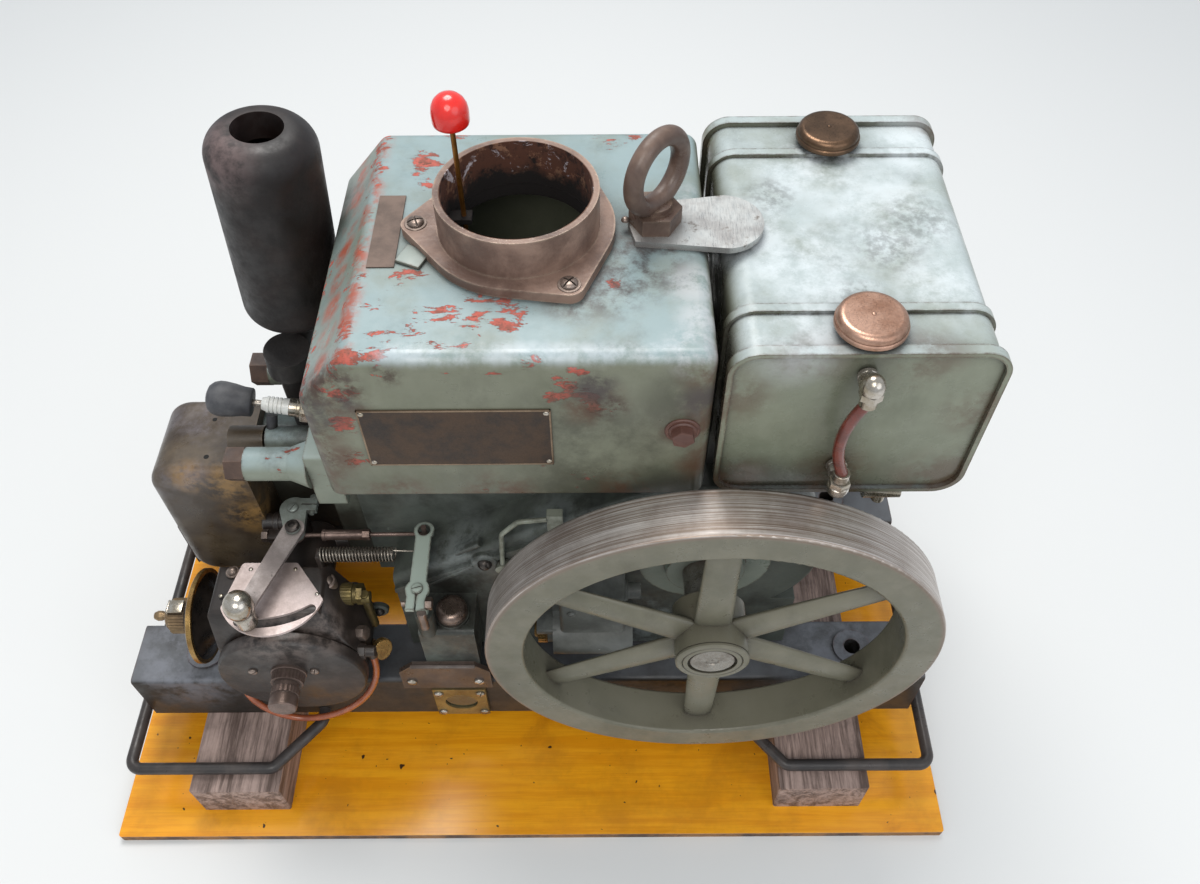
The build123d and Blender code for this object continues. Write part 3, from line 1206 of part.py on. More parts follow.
# Throttle arm: shaft, split clamp hub, arm and pin
arm_top = ARM_BOTTOM + ARM_THICK
lever_bottom = arm_top + SLIDE_GAP
pin_head_bottom = lever_bottom + LEVER_THICK + SLIDE_GAP
with BuildPart() as throttle_arm:
    with BuildSketch(Plane.XY.offset(ARM_BOTTOM)):
        with Locations(ARM_SHAFT):
            Circle(ARM_HUB_R)
        with Locations(ARM_PIN):
            Circle(ARM_EYE_R)
        make_hull()
        with Locations((ARM_SHAFT[0] + ARM_HUB_R, ARM_SHAFT[1] + ARM_SHAFT_R)):
            Rectangle(ARM_CLAMP_LENGTH, ARM_CLAMP_WIDTH)
        with Locations((ARM_SHAFT[0] + ARM_HUB_R + 2 * CLAMP_SPLIT, ARM_SHAFT[1] + ARM_SHAFT_R)):
            Rectangle(ARM_CLAMP_LENGTH, CLAMP_SPLIT, mode=Mode.SUBTRACT)
    extrude(amount=ARM_THICK)
    with BuildSketch(Plane.XY.offset(ARM_BOTTOM - ARM_SHAFT_DEPTH)):
        with Locations(ARM_SHAFT):
            Circle(ARM_SHAFT_R)
    extrude(amount=ARM_SHAFT_DEPTH + ARM_THICK + ARM_SHAFT_PROUD)
    with BuildSketch(Plane.XY.offset(rod_top - ROD_THICK)):
        with Locations(ARM_PIN):
            Circle(PIN_R)
    extrude(amount=pin_head_bottom - rod_top + ROD_THICK)
    with BuildSketch(Plane.XY.offset(pin_head_bottom)):
        with Locations(ARM_PIN):
            Circle(PIN_HEAD_R)
    extrude(amount=PIN_HEAD)
throttle_arm.part.label = "throttle_arm"
export_step(throttle_arm.part, "parts/throttle_arm.step")

# Speed lever with its knob, and the stud that runs in the slot
with BuildPart() as speed_lever:
    with BuildSketch(Plane.XY.offset(lever_bottom)):
        with Locations(ARM_PIN):
            Circle(LEVER_EYE_R)
        with Locations(KNOB_AT):
            Circle(LEVER_WIDTH / 2)
        make_hull()
        with Locations(ARM_PIN):
            Circle(PIN_R + PIVOT_FIT, mode=Mode.SUBTRACT)
    extrude(amount=LEVER_THICK)
    with BuildSketch(Plane.XY.offset(PLATE_TOP + SLIDE_GAP)):
        with Locations(KNOB_AT):
            Circle(KNOB_NECK_R)
    extrude(amount=KNOB_HEIGHT - KNOB_R / 2)
    with Locations((*KNOB_AT, PLATE_TOP + KNOB_HEIGHT)):
        Sphere(KNOB_R)
    with BuildSketch(Plane.XY.offset(plate_bottom + SLIDE_GAP)):
        with Locations(KNOB_AT):
            Circle(STUD_R)
    extrude(amount=PLATE_THICK)
speed_lever.part.label = "speed_lever"
export_step(speed_lever.part, "parts/speed_lever.step")

# Link rod with an eye, a turnbuckle and a bent end
rod_dx, rod_dy = ROD_EYE[0] - ARM_PIN[0], ROD_EYE[1] - ARM_PIN[1]
rod_long = hypot(rod_dx, rod_dy)
rod_z = rod_top - ROD_THICK / 2
rod_plane = Plane(origin=(*ARM_PIN, rod_z), x_dir=(rod_dx, rod_dy, 0), z_dir=(0, 0, 1))
rod_start = ROD_EYE_OUTER_R - 1
with BuildPart() as link_rod:
    with BuildSketch(rod_plane.offset(-ROD_THICK / 2)):
        Circle(ROD_EYE_OUTER_R)
        Circle(PIN_R + PIVOT_FIT, mode=Mode.SUBTRACT)
    extrude(amount=ROD_THICK)
    with BuildSketch(Plane(origin=rod_plane.from_local_coords((rod_start, 0, 0)), z_dir=rod_plane.x_dir)):
        Circle(ROD_R)
    extrude(amount=rod_long - rod_start)
    with BuildSketch(Plane(origin=rod_plane.from_local_coords((TURNBUCKLE_FROM, 0, 0)), z_dir=rod_plane.x_dir)):
        Circle(TURNBUCKLE_R)
    extrude(amount=TURNBUCKLE_LENGTH)
    with BuildSketch(rod_plane.offset(-ROD_R)):
        with Locations((rod_long, 0)):
            Circle(ROD_TIP_R)
    extrude(amount=ROD_R + ROD_THICK + 2 * GOVERNOR_ARM_THICK)
link_rod.part.label = "link_rod"
export_step(link_rod.part, "parts/link_rod.step")

# Governor lever, clamped on its shaft, with a wide eye for the rod's bent end
clamp_y = GOVERNOR_SHAFT[1] - GOVERNOR_CLAMP_BACK
with BuildPart() as governor_lever:
    with BuildSketch(Plane.XY.offset(ARM_BOTTOM)):
        with Locations(GOVERNOR_SHAFT):
            Circle(GOVERNOR_HUB_R)
        with Locations(ROD_EYE):
            Circle(GOVERNOR_EYE_R)
        with Locations(((GOVERNOR_SHAFT[0] + ROD_EYE[0]) / 2, (GOVERNOR_SHAFT[1] + ROD_EYE[1]) / 2)):
            Rectangle(GOVERNOR_ARM_WIDTH, ROD_EYE[1] - GOVERNOR_SHAFT[1])
        with Locations((GOVERNOR_SHAFT[0], clamp_y)):
            Rectangle(GOVERNOR_CLAMP_SIZE, GOVERNOR_CLAMP_SIZE)
        with Locations((GOVERNOR_SHAFT[0], clamp_y - 2)):
            Rectangle(CLAMP_SPLIT, GOVERNOR_CLAMP_SIZE, mode=Mode.SUBTRACT)
        with Locations(ROD_EYE):
            Circle(GOVERNOR_EYE_HOLE_R, mode=Mode.SUBTRACT)
    extrude(amount=GOVERNOR_ARM_THICK)
    with BuildSketch(Plane.XY.offset(ARM_BOTTOM - GOVERNOR_SHAFT_DEPTH)):
        with Locations(GOVERNOR_SHAFT):
            Circle(GOVERNOR_SHAFT_R)
    extrude(amount=GOVERNOR_SHAFT_DEPTH + GOVERNOR_ARM_THICK + 1)
governor_lever.part.label = "governor_lever"
export_step(governor_lever.part, "parts/governor_lever.step")

# Governor spring, as its outer shape, with the wire to the governor lever
spring_end = SPRING_LEFT + SPRING_LENGTH
wire_end = GOVERNOR_SHAFT[0] - GOVERNOR_ARM_WIDTH / 2 - SLIDE_GAP
with BuildPart() as governor_spring:
    with BuildSketch(Plane.YZ.offset(SPRING_LEFT)):
        with Locations((SPRING_Y, SPRING_Z)):
            Circle(SPRING_R)
    extrude(amount=SPRING_LENGTH)
    with BuildSketch(Plane.YZ.offset(spring_end)):
        with Locations((SPRING_Y, SPRING_Z + SPRING_R - 2 * SPRING_WIRE_R)):
            Circle(SPRING_WIRE_R)
    extrude(amount=wire_end - spring_end)
governor_spring.part.label = "governor_spring"
export_step(governor_spring.part, "parts/governor_spring.step")

# Air horn on the drum's left side, seated on the drum's round
horn_mouth = HORN_SEAT + HORN_LENGTH + HORN_THROAT / 2
with BuildPart() as air_horn:
    with BuildSketch(Plane.XY):
        with BuildLine():
            Polyline((-HORN_SEAT, 0), (-HORN_SEAT, HORN_THROAT), (-DRUM_R - HORN_NECK, HORN_THROAT))
            ThreePointArc((-DRUM_R - HORN_NECK, HORN_THROAT), (-DRUM_R - HORN_FLARE, HORN_FLARE_R),
                          (-horn_mouth + HORN_LIP, HORN_R))
            Polyline((-horn_mouth + HORN_LIP, HORN_R), (-horn_mouth, HORN_R), (-horn_mouth, 0), (-HORN_SEAT, 0))
        make_face()
    revolve(axis=Axis.X)
    with BuildSketch(Plane.XZ.offset(-2 * HORN_R)):
        Circle(DRUM_R)
        with Locations((0, DRUM_R / 2)):
            Rectangle(2 * DRUM_R, DRUM_R)
    extrude(amount=4 * HORN_R, mode=Mode.SUBTRACT)
air_horn.part.position = (DRUM_X, HORN_Y, DRUM_Z)
air_horn.part.label = "air_horn"
export_step(air_horn.part, "parts/air_horn.step")

# Choke knob: a disc, the knurled knob and a small tip
with BuildPart() as choke_knob:
    choke_at = DRUM_X - horn_mouth
    for choke_r, choke_thick in ((CHOKE_DISC_R, CHOKE_DISC_THICK), (CHOKE_KNOB_R, CHOKE_KNOB_LENGTH),
                                 (CHOKE_TIP_R, CHOKE_TIP_LENGTH)):
        with BuildSketch(Plane.YZ.offset(choke_at)):
            with Locations((HORN_Y, DRUM_Z)):
                Circle(choke_r)
        extrude(amount=-choke_thick)
        choke_at -= choke_thick
choke_knob.part.label = "choke_knob"
export_step(choke_knob.part, "parts/choke_knob.step")

# Knob on the drum's right side, and the fuel inlet filter behind the drum's shoulder
knob_seat = DRUM_X + DRUM_R
with BuildPart() as side_knob:
    with BuildSketch(Plane.YZ.offset(knob_seat)):
        with Locations(SIDE_KNOB_AT):
            Circle(SIDE_STEM_R)
    extrude(amount=SIDE_KNOB_LENGTH)
    with BuildSketch(Plane.YZ.offset(knob_seat + SIDE_KNOB_LENGTH)):
        with Locations(SIDE_KNOB_AT):
            Circle(SIDE_KNOB_R)
    extrude(amount=SIDE_KNOB_LENGTH)
side_knob.part.label = "side_knob"
export_step(side_knob.part, "parts/side_knob.step")

filter_bottom = FILTER_Z - FILTER_LENGTH
with BuildPart() as fuel_filter:
    with BuildSketch(Plane.XY.offset(filter_bottom)):
        with Locations((FILTER_X, DRUM_FAR + FILTER_R + SLIDE_GAP)):
            Circle(FILTER_R)
    extrude(amount=FILTER_LENGTH)
fuel_filter.part.label = "fuel_filter"
export_step(fuel_filter.part, "parts/fuel_filter.step")

# Oil pipe from its bracket down the near side of the crankcase
pipe_y = -CASE_HALF - OIL_PIPE_GAP
oil_route = [(x, pipe_y, z) for x, z in OIL_PIPE_POINTS]
with BuildPart() as oil_pipe:
    with BuildLine() as oil_line:
        FilletPolyline(*oil_route, radius=OIL_PIPE_BEND_R)
    with BuildSketch(Plane(origin=oil_line.line @ 0, z_dir=oil_line.line % 0)):
        Circle(OIL_PIPE_R)
    sweep()
    with BuildSketch(Plane.XZ.offset(CASE_HALF)):
        with Locations(OIL_BRACKET_AT):
            Rectangle(OIL_BRACKET_WIDTH, OIL_BRACKET_HEIGHT)
    extrude(amount=OIL_BRACKET_THICK)
    with BuildSketch(Plane.XZ.offset(CASE_HALF)):
        with Locations((OIL_PIPE_POINTS[-1][0], OIL_PIPE_POINTS[-1][1] - OIL_FITTING_R / 2)):
            Circle(OIL_FITTING_R)
    extrude(amount=OIL_FITTING_LENGTH)
oil_pipe.part.label = "oil_pipe"
export_step(oil_pipe.part, "parts/oil_pipe.step")
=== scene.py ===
# %% [markdown]
# # A stationary engine on its carrying board
#
# The engine is a horizontal, hopper-cooled farm engine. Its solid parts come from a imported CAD
# model, which stays fixed. This script gives them their paint, rust, oil and wear, and models
# what is too fine for the CAD. Everything is in metres, in the CAD's own frame: X runs from the
# cylinder head to the crank, Y along the crankshaft away from the viewer, and Z is up.

import json
import math
import random

import bmesh
import bpy
from mathutils import Matrix, Vector


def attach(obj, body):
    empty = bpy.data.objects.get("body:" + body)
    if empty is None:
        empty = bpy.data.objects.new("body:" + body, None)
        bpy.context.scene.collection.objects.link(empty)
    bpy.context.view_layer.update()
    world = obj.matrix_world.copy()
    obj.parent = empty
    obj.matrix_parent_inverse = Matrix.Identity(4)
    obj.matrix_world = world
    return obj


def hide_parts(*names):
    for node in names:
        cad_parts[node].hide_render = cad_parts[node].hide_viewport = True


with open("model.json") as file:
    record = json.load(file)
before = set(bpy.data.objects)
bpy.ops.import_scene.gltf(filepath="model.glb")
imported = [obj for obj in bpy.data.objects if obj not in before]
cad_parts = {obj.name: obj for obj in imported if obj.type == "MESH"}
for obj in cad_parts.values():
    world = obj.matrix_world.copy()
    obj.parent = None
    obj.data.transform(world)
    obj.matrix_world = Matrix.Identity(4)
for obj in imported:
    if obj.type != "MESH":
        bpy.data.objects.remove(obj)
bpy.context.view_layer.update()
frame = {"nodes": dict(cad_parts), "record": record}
MM = 0.001

# %% [markdown]
# ## Camera
#
# The photograph was taken from standing height with a slightly wide lens, looking down at the
# engine's near side. The camera is placed from where the board, the tank and the flywheel lie
# in the picture, so a piece can be compared with the photograph at the same spot.

# %% Camera
CAMERA_AT = Vector((77.7, -592.2, 1145.7)) * MM
CAMERA_YAW = math.radians(0.04)
CAMERA_DOWN = math.radians(52.12)
CAMERA_ROLL = math.radians(-0.38)
SENSOR_MM = 36
LENS_MM = 30.57


def turn(angle, axis):
    return Matrix.Rotation(angle, 4, axis)


camera_data = bpy.data.cameras.new("camera")
camera_data.sensor_fit = "HORIZONTAL"
camera_data.sensor_width = SENSOR_MM
camera_data.lens = LENS_MM
camera_data.clip_end = 20
camera = bpy.data.objects.new("camera", camera_data)
camera.matrix_world = (Matrix.Translation(CAMERA_AT) @ turn(CAMERA_YAW, "Z")
                       @ turn(math.radians(90) - CAMERA_DOWN, "X") @ turn(CAMERA_ROLL, "Z"))
bpy.context.collection.objects.link(camera)
bpy.context.scene.camera = camera
print("camera", [round(v, 3) for v in camera.location], "lens", LENS_MM)

# %% [markdown]
# ## Fuel hose
#
# A short amber fuel hose hangs in a bow below the carburettor, from its right side to its left.
# It is a soft tube of fixed length, so it is one smooth NURBS curve with a round bevel. The
# order is set after the points are in, because before that Blender would cap it at straight runs.

# %% Fuel hose
HOSE_ROUTE = [(-145, -146, 236), (-145, -146, 206), (-158, -150, 165), (-182, -151, 128), (-214, -151, 102),
              (-246, -150, 92), (-274, -148, 104), (-291, -145, 130), (-296, -140, 158), (-290, -132, 184)]
HOSE_DIAMETER = 0.007


def finish_piece(obj, body, material):
    obj.data.materials.clear()
    obj.data.materials.append(material)
    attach(obj, body)
    return obj


def nurbs_tube(name, points, diameter, body, material):
    curve = bpy.data.curves.new(name, "CURVE")
    curve.dimensions = "3D"
    spline = curve.splines.new("NURBS")
    spline.points.add(len(points) - 1)
    for point, at in zip(spline.points, points):
        point.co = (*[v * MM for v in at], 1)
    spline.order_u = 3
    spline.use_endpoint_u = True
    curve.bevel_depth = diameter / 2
    curve.bevel_resolution = 4
    curve.resolution_u = 12
    curve.use_fill_caps = True
    obj = bpy.data.objects.new(name, curve)
    bpy.context.collection.objects.link(obj)
    return finish_piece(obj, body, material)


# %% [markdown]
# ## Floor, lights and world
#
# The photograph was taken in soft daylight. Here a plain pale floor, a large soft key lamp high
# behind the engine, one in front of it and a weaker fill on the right keep the colours about as
# they are written. A pale blue world lights the shaded sides, and the floor catches the shadow.

# %% Small helpers for shader nodes
def add(tree, kind, inputs=None, **settings):
    node = tree.nodes.new(kind)
    for name, value in settings.items():
        setattr(node, name, value)
    for name, value in (inputs or {}).items():
        socket = node.inputs[name]
        if isinstance(value, bpy.types.NodeSocket):
            tree.links.new(value, socket)
        else:
            socket.default_value = value
    return node


def srgb(red, green, blue):
    def linear(value):
        value /= 255
        return value / 12.92 if value <= 0.04045 else ((value + 0.055) / 1.055) ** 2.4
    return (linear(red), linear(green), linear(blue), 1)


def mix(tree, factor, a, b, blend="MIX"):
    return add(tree, "ShaderNodeMix", {0: factor, 6: a, 7: b}, data_type="RGBA", blend_type=blend).outputs[2]


def maths(tree, operation, a, b=0.0, clamp=False):
    return add(tree, "ShaderNodeMath", {0: a, 1: b}, operation=operation, use_clamp=clamp).outputs[0]


def rise(tree, value, low, high, to_low=0.0, to_high=1.0):
    node = add(tree, "ShaderNodeMapRange", {"Value": value, "From Min": low, "From Max": high,
                                            "To Min": to_low, "To Max": to_high}, interpolation_type="SMOOTHSTEP")
    return node.outputs[0]


def noise(tree, vector, scale, detail=4.0, rough=0.6, warp=0.0):
    node = add(tree, "ShaderNodeTexNoise", {"Vector": vector, "Scale": scale, "Detail": detail,
                                            "Roughness": rough, "Distortion": warp})
    return node.outputs[0]


def new_material(name):
    material = bpy.data.materials.new(name)
    material.use_nodes = True
    material.node_tree.nodes.clear()
    return material, material.node_tree


# %% Floor and world
FLOOR_HALF = 6.0
floor_mesh = bpy.data.meshes.new("floor")
floor_bm = bmesh.new()
bmesh.ops.create_grid(floor_bm, x_segments=1, y_segments=1, size=FLOOR_HALF)
floor_bm.to_mesh(floor_mesh)
floor_bm.free()
floor = bpy.data.objects.new("floor", floor_mesh)
bpy.context.collection.objects.link(floor)
floor_material, tree = new_material("pale floor")
floor_shader = add(tree, "ShaderNodeBsdfPrincipled", {"Base Color": (0.72, 0.72, 0.71, 1), "Roughness": 0.75})
add(tree, "ShaderNodeOutputMaterial", {"Surface": floor_shader.outputs[0]})
floor.data.materials.append(floor_material)

world = bpy.data.worlds.new("studio")
bpy.context.scene.world = world
world.use_nodes = True
tree = world.node_tree
tree.nodes.clear()
WORLD_LIGHT = 0.66
sky = add(tree, "ShaderNodeBackground", {"Color": (0.86, 0.93, 1.0, 1), "Strength": WORLD_LIGHT})
add(tree, "ShaderNodeOutputWorld", {"Surface": sky.outputs[0]})
bpy.context.scene.view_settings.view_transform = "Standard"


def area_light(name, at, aim, size, power, colour):
    data = bpy.data.lights.new(name, "AREA")
    data.shape = "DISK"
    data.size = size
    data.energy = power
    data.color = colour
    lamp = bpy.data.objects.new(name, data)
    lamp.location = at
    lamp.rotation_euler = (Vector(aim) - Vector(at)).to_track_quat("-Z", "Y").to_euler()
    bpy.context.collection.objects.link(lamp)
    return lamp


area_light("key", (-0.2, 0.9, 2.6), (0, 0, 0.4), 1.3, 42, (1, 0.98, 0.95))
area_light("fill", (1.6, -1.6, 1.7), (0, 0, 0.3), 2.0, 12, (0.93, 0.96, 1))
area_light("front", (-0.25, -1.7, 2.6), (0, -0.1, 0.1), 1.6, 27, (1, 0.97, 0.92))
print("floor, world and three lamps")

# %% [markdown]
# ## Shared shader effects
#
# Most surfaces here show the same few effects: worn edges, grime with painted shade in corners,
# painted sky light on upward faces, chipped paint and rust in several tones. Each effect is a node
# group, built once, so a material only states its
# colours and amounts. The patterns read Object coordinates, which are metres here, so a noise
# scale of 50 gives marks of about 20 mm.

# %% Node group helpers
def new_group(name, inputs, outputs):
    tree = bpy.data.node_groups.new(name, "ShaderNodeTree")
    for socket_name, kind, value in inputs:
        socket = tree.interface.new_socket(name=socket_name, in_out="INPUT", socket_type=kind)
        if value is not None:
            socket.default_value = value
    for socket_name, kind in outputs:
        tree.interface.new_socket(name=socket_name, in_out="OUTPUT", socket_type=kind)
    return tree, tree.nodes.new("NodeGroupInput").outputs, tree.nodes.new("NodeGroupOutput").inputs


def use_group(tree, group, inputs):
    node = tree.nodes.new("ShaderNodeGroup")
    node.node_tree = group
    for name, value in inputs.items():
        socket = node.inputs[name]
        if isinstance(value, bpy.types.NodeSocket):
            tree.links.new(value, socket)
        else:
            socket.default_value = value
    return node.outputs


VALUE, COLOUR, VECTOR = "NodeSocketFloat", "NodeSocketColor", "NodeSocketVector"

# %% Edge wear: where a rounded normal departs from the true one
edge_wear, given, out = new_group("edge wear", [("Vector", VECTOR, None), ("Radius", VALUE, 0.003),
                                                ("Amount", VALUE, 1.0)], [("Mask", VALUE)])
rounded = add(edge_wear, "ShaderNodeBevel", {"Radius": given["Radius"]}, samples=4)
true_normal = add(edge_wear, "ShaderNodeNewGeometry")
same = add(edge_wear, "ShaderNodeVectorMath", {0: rounded.outputs[0], 1: true_normal.outputs["Normal"]},
           operation="DOT_PRODUCT")
departs = maths(edge_wear, "SUBTRACT", 1.0, same.outputs["Value"])
broken = noise(edge_wear, given["Vector"], 140, 5, 0.7)
edge = maths(edge_wear, "MULTIPLY", rise(edge_wear, departs, 0.01, 0.16), rise(edge_wear, broken, 0.3, 0.62))
edge_wear.links.new(maths(edge_wear, "MULTIPLY", edge, given["Amount"], clamp=True), out["Mask"])

# %% Grime and painted shade: ambient occlusion paints shade where surfaces meet, with oil and dust in streaks and blots
grime_and_corner_shade, given, out = new_group("grime_and_corner_shade", [("Vector", VECTOR, None), ("Reach", VALUE, 0.03),
                                        ("Blots", VALUE, 0.4)], [("Mask", VALUE)])
# The ambient occlusion term is painted shade: it darkens the corners and gaps where shade falls. The blots and specks
# below are oil and dust.
corner = add(grime_and_corner_shade, "ShaderNodeAmbientOcclusion", {"Distance": given["Reach"]}, samples=4)
shade = rise(grime_and_corner_shade, corner.outputs["AO"], 0.35, 0.95, 1.0, 0.0)
tall = add(grime_and_corner_shade, "ShaderNodeMapping", {"Vector": given["Vector"], "Scale": (1, 1, 0.35)})
blot = rise(grime_and_corner_shade, noise(grime_and_corner_shade, tall.outputs[0], 22, 6, 0.68), 0.5, 0.72)
speckle = rise(grime_and_corner_shade, noise(grime_and_corner_shade, given["Vector"], 260, 3, 0.6), 0.35, 0.65, 0.55, 1.0)
blotted = maths(grime_and_corner_shade, "MULTIPLY", maths(grime_and_corner_shade, "MULTIPLY", blot, given["Blots"]), speckle)
grime_and_corner_shade.links.new(maths(grime_and_corner_shade, "MAXIMUM", shade, blotted, clamp=True), out["Mask"])

# %% Spot: a soft round place where something is worn or stained, or where shade or a highlight is painted
spot, given, out = new_group("spot", [("Vector", VECTOR, None), ("Centre", VECTOR, None), ("Reach", VALUE, 0.05)],
                             [("Mask", VALUE)])
away = add(spot, "ShaderNodeVectorMath", {0: given["Vector"], 1: given["Centre"]}, operation="DISTANCE")
near = maths(spot, "DIVIDE", away.outputs["Value"], given["Reach"])
spot.links.new(rise(spot, near, 0.25, 1.0, 1.0, 0.0), out["Mask"])

# %% Worn paint: faded tone, upward faces bleached and lit with painted sky light, chips down to primer, bare metal at the edges, grime and painted corner shade on top
paint_inputs = [("Vector", VECTOR, None), ("Paint", COLOUR, None), ("Faded", COLOUR, None), ("Bleached and sky lit", COLOUR, None),
                ("Primer", COLOUR, None), ("Metal", COLOUR, None), ("Dirt and shade", COLOUR, None), ("Chips", VALUE, 0.5),
                ("Place", VALUE, 0.0), ("Edges", VALUE, 1.0), ("Blots", VALUE, 0.4), ("Gloss", VALUE, 0.35)]
worn_paint, given, out = new_group("worn paint", paint_inputs,
                                   [("Color", COLOUR), ("Roughness", VALUE), ("Metallic", VALUE), ("Height", VALUE)])
at = given["Vector"]
tone = rise(worn_paint, noise(worn_paint, at, 9, 5, 0.62, 0.4), 0.3, 0.7)
mottle = rise(worn_paint, noise(worn_paint, at, 70, 4, 0.6), 0.35, 0.75, 0.0, 0.35)
colour = mix(worn_paint, maths(worn_paint, "ADD", tone, mottle, clamp=True), given["Paint"], given["Faded"])
# Upward faces take the bleached tone: partly real sun fade, partly painted sky light on the tops.
facing = add(worn_paint, "ShaderNodeNewGeometry")
upward = add(worn_paint, "ShaderNodeSeparateXYZ", {"Vector": facing.outputs["Normal"]}).outputs["Z"]
sunned_and_sky_lit = maths(worn_paint, "MULTIPLY", rise(worn_paint, upward, 0.3, 0.95),
               rise(worn_paint, noise(worn_paint, at, 16, 6, 0.64), 0.28, 0.62, 0.45, 1.0))
colour = mix(worn_paint, sunned_and_sky_lit, colour, given["Bleached and sky lit"])
flat = add(worn_paint, "ShaderNodeMapping", {"Vector": at, "Scale": (0.6, 1.5, 1.5)}).outputs[0]
flakes = noise(worn_paint, flat, 66, 10, 0.72, 0.35)
where = noise(worn_paint, at, 13, 3, 0.5)
bias = maths(worn_paint, "ADD", maths(worn_paint, "MULTIPLY", where, 0.3), maths(worn_paint, "MULTIPLY", flakes, 0.7))
lifted = maths(worn_paint, "ADD", bias, maths(worn_paint, "MULTIPLY", given["Place"], 0.125))
limit = maths(worn_paint, "SUBTRACT", 0.74, maths(worn_paint, "MULTIPLY", given["Chips"], 0.16))
over = maths(worn_paint, "SUBTRACT", lifted, limit)
chip = rise(worn_paint, over, 0.0, 0.006)
deep = rise(worn_paint, over, 0.06, 0.085)
fringe = maths(worn_paint, "MULTIPLY", rise(worn_paint, over, -0.02, 0.0), 0.3)
wear = use_group(worn_paint, edge_wear, {"Vector": at, "Amount": given["Edges"]})["Mask"]
bare = maths(worn_paint, "MAXIMUM", maths(worn_paint, "MULTIPLY", deep, 0.8), wear)
colour = mix(worn_paint, fringe, colour, given["Dirt and shade"])
old_primer = mix(worn_paint, rise(worn_paint, noise(worn_paint, at, 150, 4, 0.6), 0.4, 0.62, 0.0, 0.6),
                 given["Primer"], given["Metal"])
colour = mix(worn_paint, chip, colour, old_primer)
colour = mix(worn_paint, bare, colour, given["Metal"])
# The grime mask is oil blots plus ambient-occlusion darkening, which paints shade into the corners in the dirt colour.
oil_and_corner_shade = use_group(worn_paint, grime_and_corner_shade, {"Vector": at, "Blots": given["Blots"]})["Mask"]
colour = mix(worn_paint, maths(worn_paint, "MULTIPLY", oil_and_corner_shade, 0.8), colour, given["Dirt and shade"])
scuff = rise(worn_paint, noise(worn_paint, at, 33, 6, 0.7), 0.3, 0.75, -0.1, 0.24)
rough = maths(worn_paint, "ADD", given["Gloss"], scuff)
rough = maths(worn_paint, "MAXIMUM", rough, maths(worn_paint, "MULTIPLY", chip, 0.66), clamp=True)
worn_paint.links.new(colour, out["Color"])
worn_paint.links.new(rough, out["Roughness"])
worn_paint.links.new(maths(worn_paint, "MULTIPLY", bare, 0.25), out["Metallic"])
ripple = maths(worn_paint, "MULTIPLY", noise(worn_paint, at, 120, 3, 0.5), 0.3)
sunk = maths(worn_paint, "SUBTRACT", ripple, maths(worn_paint, "MULTIPLY", chip, 0.7))
worn_paint.links.new(sunk, out["Height"])

# %% Old iron: three tones of brown-black scale over a rough casting
iron_inputs = [("Vector", VECTOR, None), ("Dark", COLOUR, None), ("Middle", COLOUR, None), ("Light", COLOUR, None),
               ("Scale", VALUE, 1.0), ("Light amount", VALUE, 0.3), ("Edges", VALUE, 0.6), ("Gloss", VALUE, 0.5)]
old_iron, given, out = new_group("old iron", iron_inputs,
                                 [("Color", COLOUR), ("Roughness", VALUE), ("Metallic", VALUE), ("Height", VALUE)])
at = add(old_iron, "ShaderNodeVectorMath", {0: given["Vector"], "Scale": given["Scale"]}, operation="SCALE").outputs[0]
broad = rise(old_iron, noise(old_iron, at, 14, 6, 0.66, 0.3), 0.36, 0.66)
colour = mix(old_iron, broad, given["Dark"], given["Middle"])
spots = noise(old_iron, at, 62, 8, 0.72)
limit = maths(old_iron, "SUBTRACT", 0.78, maths(old_iron, "MULTIPLY", given["Light amount"], 0.4))
fresh = rise(old_iron, maths(old_iron, "SUBTRACT", spots, limit), 0.0, 0.09)
colour = mix(old_iron, fresh, colour, given["Light"])
wear = use_group(old_iron, edge_wear, {"Vector": given["Vector"], "Amount": given["Edges"]})["Mask"]
colour = mix(old_iron, maths(old_iron, "MULTIPLY", wear, 0.5), colour, given["Light"])
pits = noise(old_iron, at, 420, 3, 0.55)
cast = noise(old_iron, at, 150, 4, 0.6)
rough = rise(old_iron, noise(old_iron, at, 30, 5, 0.7), 0.3, 0.7, -0.12, 0.2)
old_iron.links.new(colour, out["Color"])
old_iron.links.new(maths(old_iron, "ADD", given["Gloss"], rough, clamp=True), out["Roughness"])
old_iron.links.new(maths(old_iron, "MULTIPLY", wear, 0.4), out["Metallic"])
old_iron.links.new(maths(old_iron, "ADD", maths(old_iron, "MULTIPLY", pits, 0.35),
                         maths(old_iron, "MULTIPLY", cast, 0.65)), out["Height"])

# %% Wood: grain drawn out along one axis, with darker pores
wood_inputs = [("Vector", VECTOR, None), ("Pale", COLOUR, None), ("Dark", COLOUR, None), ("Stain", COLOUR, None),
               ("Along", VECTOR, (0.04, 1, 1)), ("Stained", VALUE, 0.3)]
wood_grain, given, out = new_group("wood grain", wood_inputs,
                                   [("Color", COLOUR), ("Roughness", VALUE), ("Height", VALUE)])
drawn = add(wood_grain, "ShaderNodeVectorMath", {0: given["Vector"], 1: given["Along"]}, operation="MULTIPLY").outputs[0]
figure = noise(wood_grain, drawn, 60, 5, 0.6, 1.2)
fibre = noise(wood_grain, drawn, 420, 4, 0.7)
grain = maths(wood_grain, "ADD", maths(wood_grain, "MULTIPLY", figure, 0.6), maths(wood_grain, "MULTIPLY", fibre, 0.4))
colour = mix(wood_grain, rise(wood_grain, grain, 0.38, 0.62), given["Dark"], given["Pale"])
cloud = rise(wood_grain, noise(wood_grain, given["Vector"], 12, 6, 0.66), 0.42, 0.7)
colour = mix(wood_grain, maths(wood_grain, "MULTIPLY", cloud, given["Stained"]), colour, given["Stain"])
wood_grain.links.new(colour, out["Color"])
